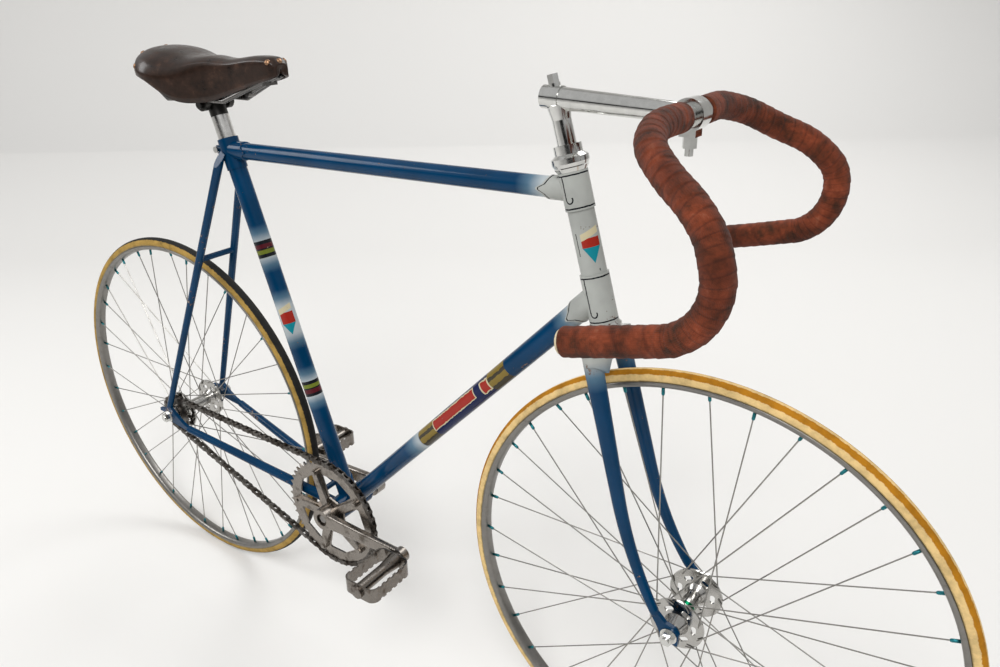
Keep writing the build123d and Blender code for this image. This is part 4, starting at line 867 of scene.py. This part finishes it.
ring_phase = (upper_turn % (2 * pi / ring_teeth)) * ring_radius
pins = loop_points(straight + ring_phase + np.arange(link_count) * loop / link_count)
pins = np.stack([pins[:, 0], 0 * pins[:, 0], pins[:, 1]], 1) + np.array(rear_axle) - (0, chain_line, 0)
link_runs = unit(np.roll(pins, -1, 0) - pins)
pin_way = np.array(leftwards)
link_axes = np.stack([link_runs, np.cross(pin_way, link_runs), np.broadcast_to(pin_way, pins.shape)], 1)
parts = []
for aside, links in ((inner_aside, slice(0, None, 2)), (outer_aside, slice(1, None, 2))):
    for hand in (-1, 1):
        parts.append(copies(*plate(plate_thick), pins[links] + (0, hand * aside, 0), link_axes[links]))
steps = np.cumsum([0] + [len(points) for points, _ in parts[:-1]])
plate_faces = np.concatenate([faces + step for (_, faces), step in zip(parts, steps)])
chain_pieces = {
    "chain_plates": (np.concatenate([points for points, _ in parts]), plate_faces),
    "chain_pins": copies(*drum(pin_radius, pin_half, pin_sides), pins, link_axes),
    "chain_rollers": copies(*drum(roller_radius, roller_half, roller_sides), pins, link_axes),
}
for name, (points, faces) in chain_pieces.items():
    piece = mesh_object(name, points, faces, poles=True)
    piece.data.polygons.foreach_set("use_smooth", np.zeros(len(piece.data.polygons), bool))
    piece.data.materials.append(greasy_steel)
    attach(piece, "frame")
    if name == "chain_plates":
        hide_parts("chain")

# Saddle: thick leather shaped over a block and stretched over its frame. Outer and inner skins are smooth
# arches that close at nose and rear.
hide_thick = 0.0042
arch_steps, arch_columns = 120, 49
saddle_rear = np.array((-0.0908, 0.0, -0.0680))
# Each row of arches, from rear to nose, in millimetres: ahead, half width, crown height, skirt height.
arch_rows = np.array([
    (3.0, 3.0, 58.0, 55.0), (1.0, 26.0, 64.0, 49.0), (0.3, 44.0, 69.0, 46.0), (12.0, 62.0, 79.5, 41.0),
    (45.0, 71.0, 78.0, 34.0), (90.0, 56.0, 68.0, 6.0), (130.0, 34.0, 68.0, 3.0), (175.0, 23.0, 65.0, 15.0),
    (225.0, 19.0, 70.0, 30.0), (260.0, 17.0, 69.5, 39.0), (271.0, 12.0, 62.0, 43.0), (271.5, 6.0, 57.0, 46.0),
    (270.0, 1.0, 53.0, 51.0),
]) / 1000
# Points of an arch from skirt to crown: share of the half width aside, and fall below the crown as a share
# of the half width and as metres. The first point takes the skirt's height instead.
arch_asides, arch_falls, arch_drops = np.array([
    (1.0, 1.0, 0.86, 0.5), (0.42, 0.42, 0.2, 0.05), (0.002, 0.002, 0.001, 0.0),
])
least_half, least_crown, least_step = 0.0005, 0.0005, 0.0002


def arch_surface(inset):
    """Skin of the leather: smooth arches across, set by half width, crown height and skirt height in each
    row, and smooth from row to row."""
    ahead, half, crown, skirt = arch_rows.T
    ahead = np.clip(ahead, ahead.min() + inset, ahead.max() - inset)
    half, crown = np.maximum(half - inset, least_half), np.maximum(crown - inset, skirt + least_crown)
    fall = crown[:, None] - half[:, None] * arch_falls - arch_drops
    fall[:, 0] = skirt
    fall[:, 1:] = np.maximum(fall[:, 1:], skirt[:, None] + least_step)
    aside = half[:, None] * arch_asides
    wide = np.concatenate([-aside, 0 * half[:, None], aside[:, ::-1]], 1)
    high = np.concatenate([fall, crown[:, None], fall[:, ::-1]], 1)
    rows = np.stack([np.broadcast_to(ahead[:, None], wide.shape), wide, high], -1)
    smooth = through(rows, arch_steps)
    return through(smooth.transpose(1, 0, 2), arch_columns).transpose(1, 0, 2)


outer = arch_surface(0.0) + saddle_rear
inner = arch_surface(hide_thick) + saddle_rear
skin = np.concatenate([outer, inner[:, ::-1]], 1)
around, column = 2 * arch_columns, np.arange(arch_columns - 1)
rear_cap = np.stack([column, around - 1 - column, around - 2 - column, column + 1], 1)
nose_cap = rear_cap[:, ::-1] + (arch_steps - 1) * around
skin_faces = np.concatenate([grid_faces(arch_steps, around)[0], rear_cap, nose_cap])[:, ::-1]
leather = mesh_object("leather_cover", skin, skin_faces, poles=True)
hide_sockets = {"Coat_Weight": 0.28, "Coat_Roughness": 0.14, "Specular_IOR_Level": 0.2}
hide, tree, surface = shader("saddle_leather", rough=0.4, **hide_sockets)
grain = noise(tree, 60.0, detail=6.0, roughness=0.65)
hide_tone = ramp(tree, grain, (
    (0.32, (0.010, 0.005, 0.003)), (0.58, (0.026, 0.012, 0.007)), (0.8, (0.07, 0.034, 0.020)),
))
tree.links.new(hide_tone, surface.inputs["Base Color"])
tree.links.new(ramp(tree, grain, ((0.3, 0.25), (0.8, 0.5))), surface.inputs["Roughness"])
bump(tree, surface, noise(tree, 420.0, detail=5.0), 0.3, 0.0004)
leather.data.materials.append(hide)
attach(leather, "frame")
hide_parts("saddle_cover")

# Saddle fittings: eight copper rivets hold the leather, three at the nose and five across the rear. A black
# steel clamp holds its two plain steel rails on the alloy post.
rivet_rows = np.array([90, 90, 96, 28, 28, 28, 31, 31])
rivet_columns = np.array([9, 39, 24, 15, 24, 33, 7, 41])
rivet_profile = [
    (0, -0.002), (0.0042, -0.002), (0.0042, 0.0), (0.0034, 0.0010), (0.0018, 0.0016), (0, 0.0018),
]
rivet_sides = 16
slope_ahead, slope_aside = np.gradient(outer, axis=0), np.gradient(outer, axis=1)
normals = unit(np.cross(slope_ahead, slope_aside))[rivet_rows, rivet_columns]
rivet_spots = outer[rivet_rows, rivet_columns]
outwards = rivet_spots - outer[rivet_rows].mean(axis=1)
normals *= np.sign(np.sum(normals * outwards, axis=1, keepdims=True))
rivet_form = copies(*lathed(rivet_profile, rivet_sides), rivet_spots, axes_along(normals))
rivets = mesh_object("copper_rivets", *rivet_form, poles=True)
rivets.data.materials.append(plated("copper", (0.33, 0.19, 0.11), 0.3, dull=0.6))
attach(rivets, "frame")
dress(plated("post_alloy", (0.68, 0.67, 0.65), 0.12), "seat_post")
dress(plated("black_steel", (0.05, 0.048, 0.046), 0.3, stain=(0.03, 0.025, 0.02)), "saddle_clamp")
dress(plated("rail_steel", (0.15, 0.145, 0.14), 0.25, stain=(0.05, 0.04, 0.03)), "saddle_rails")
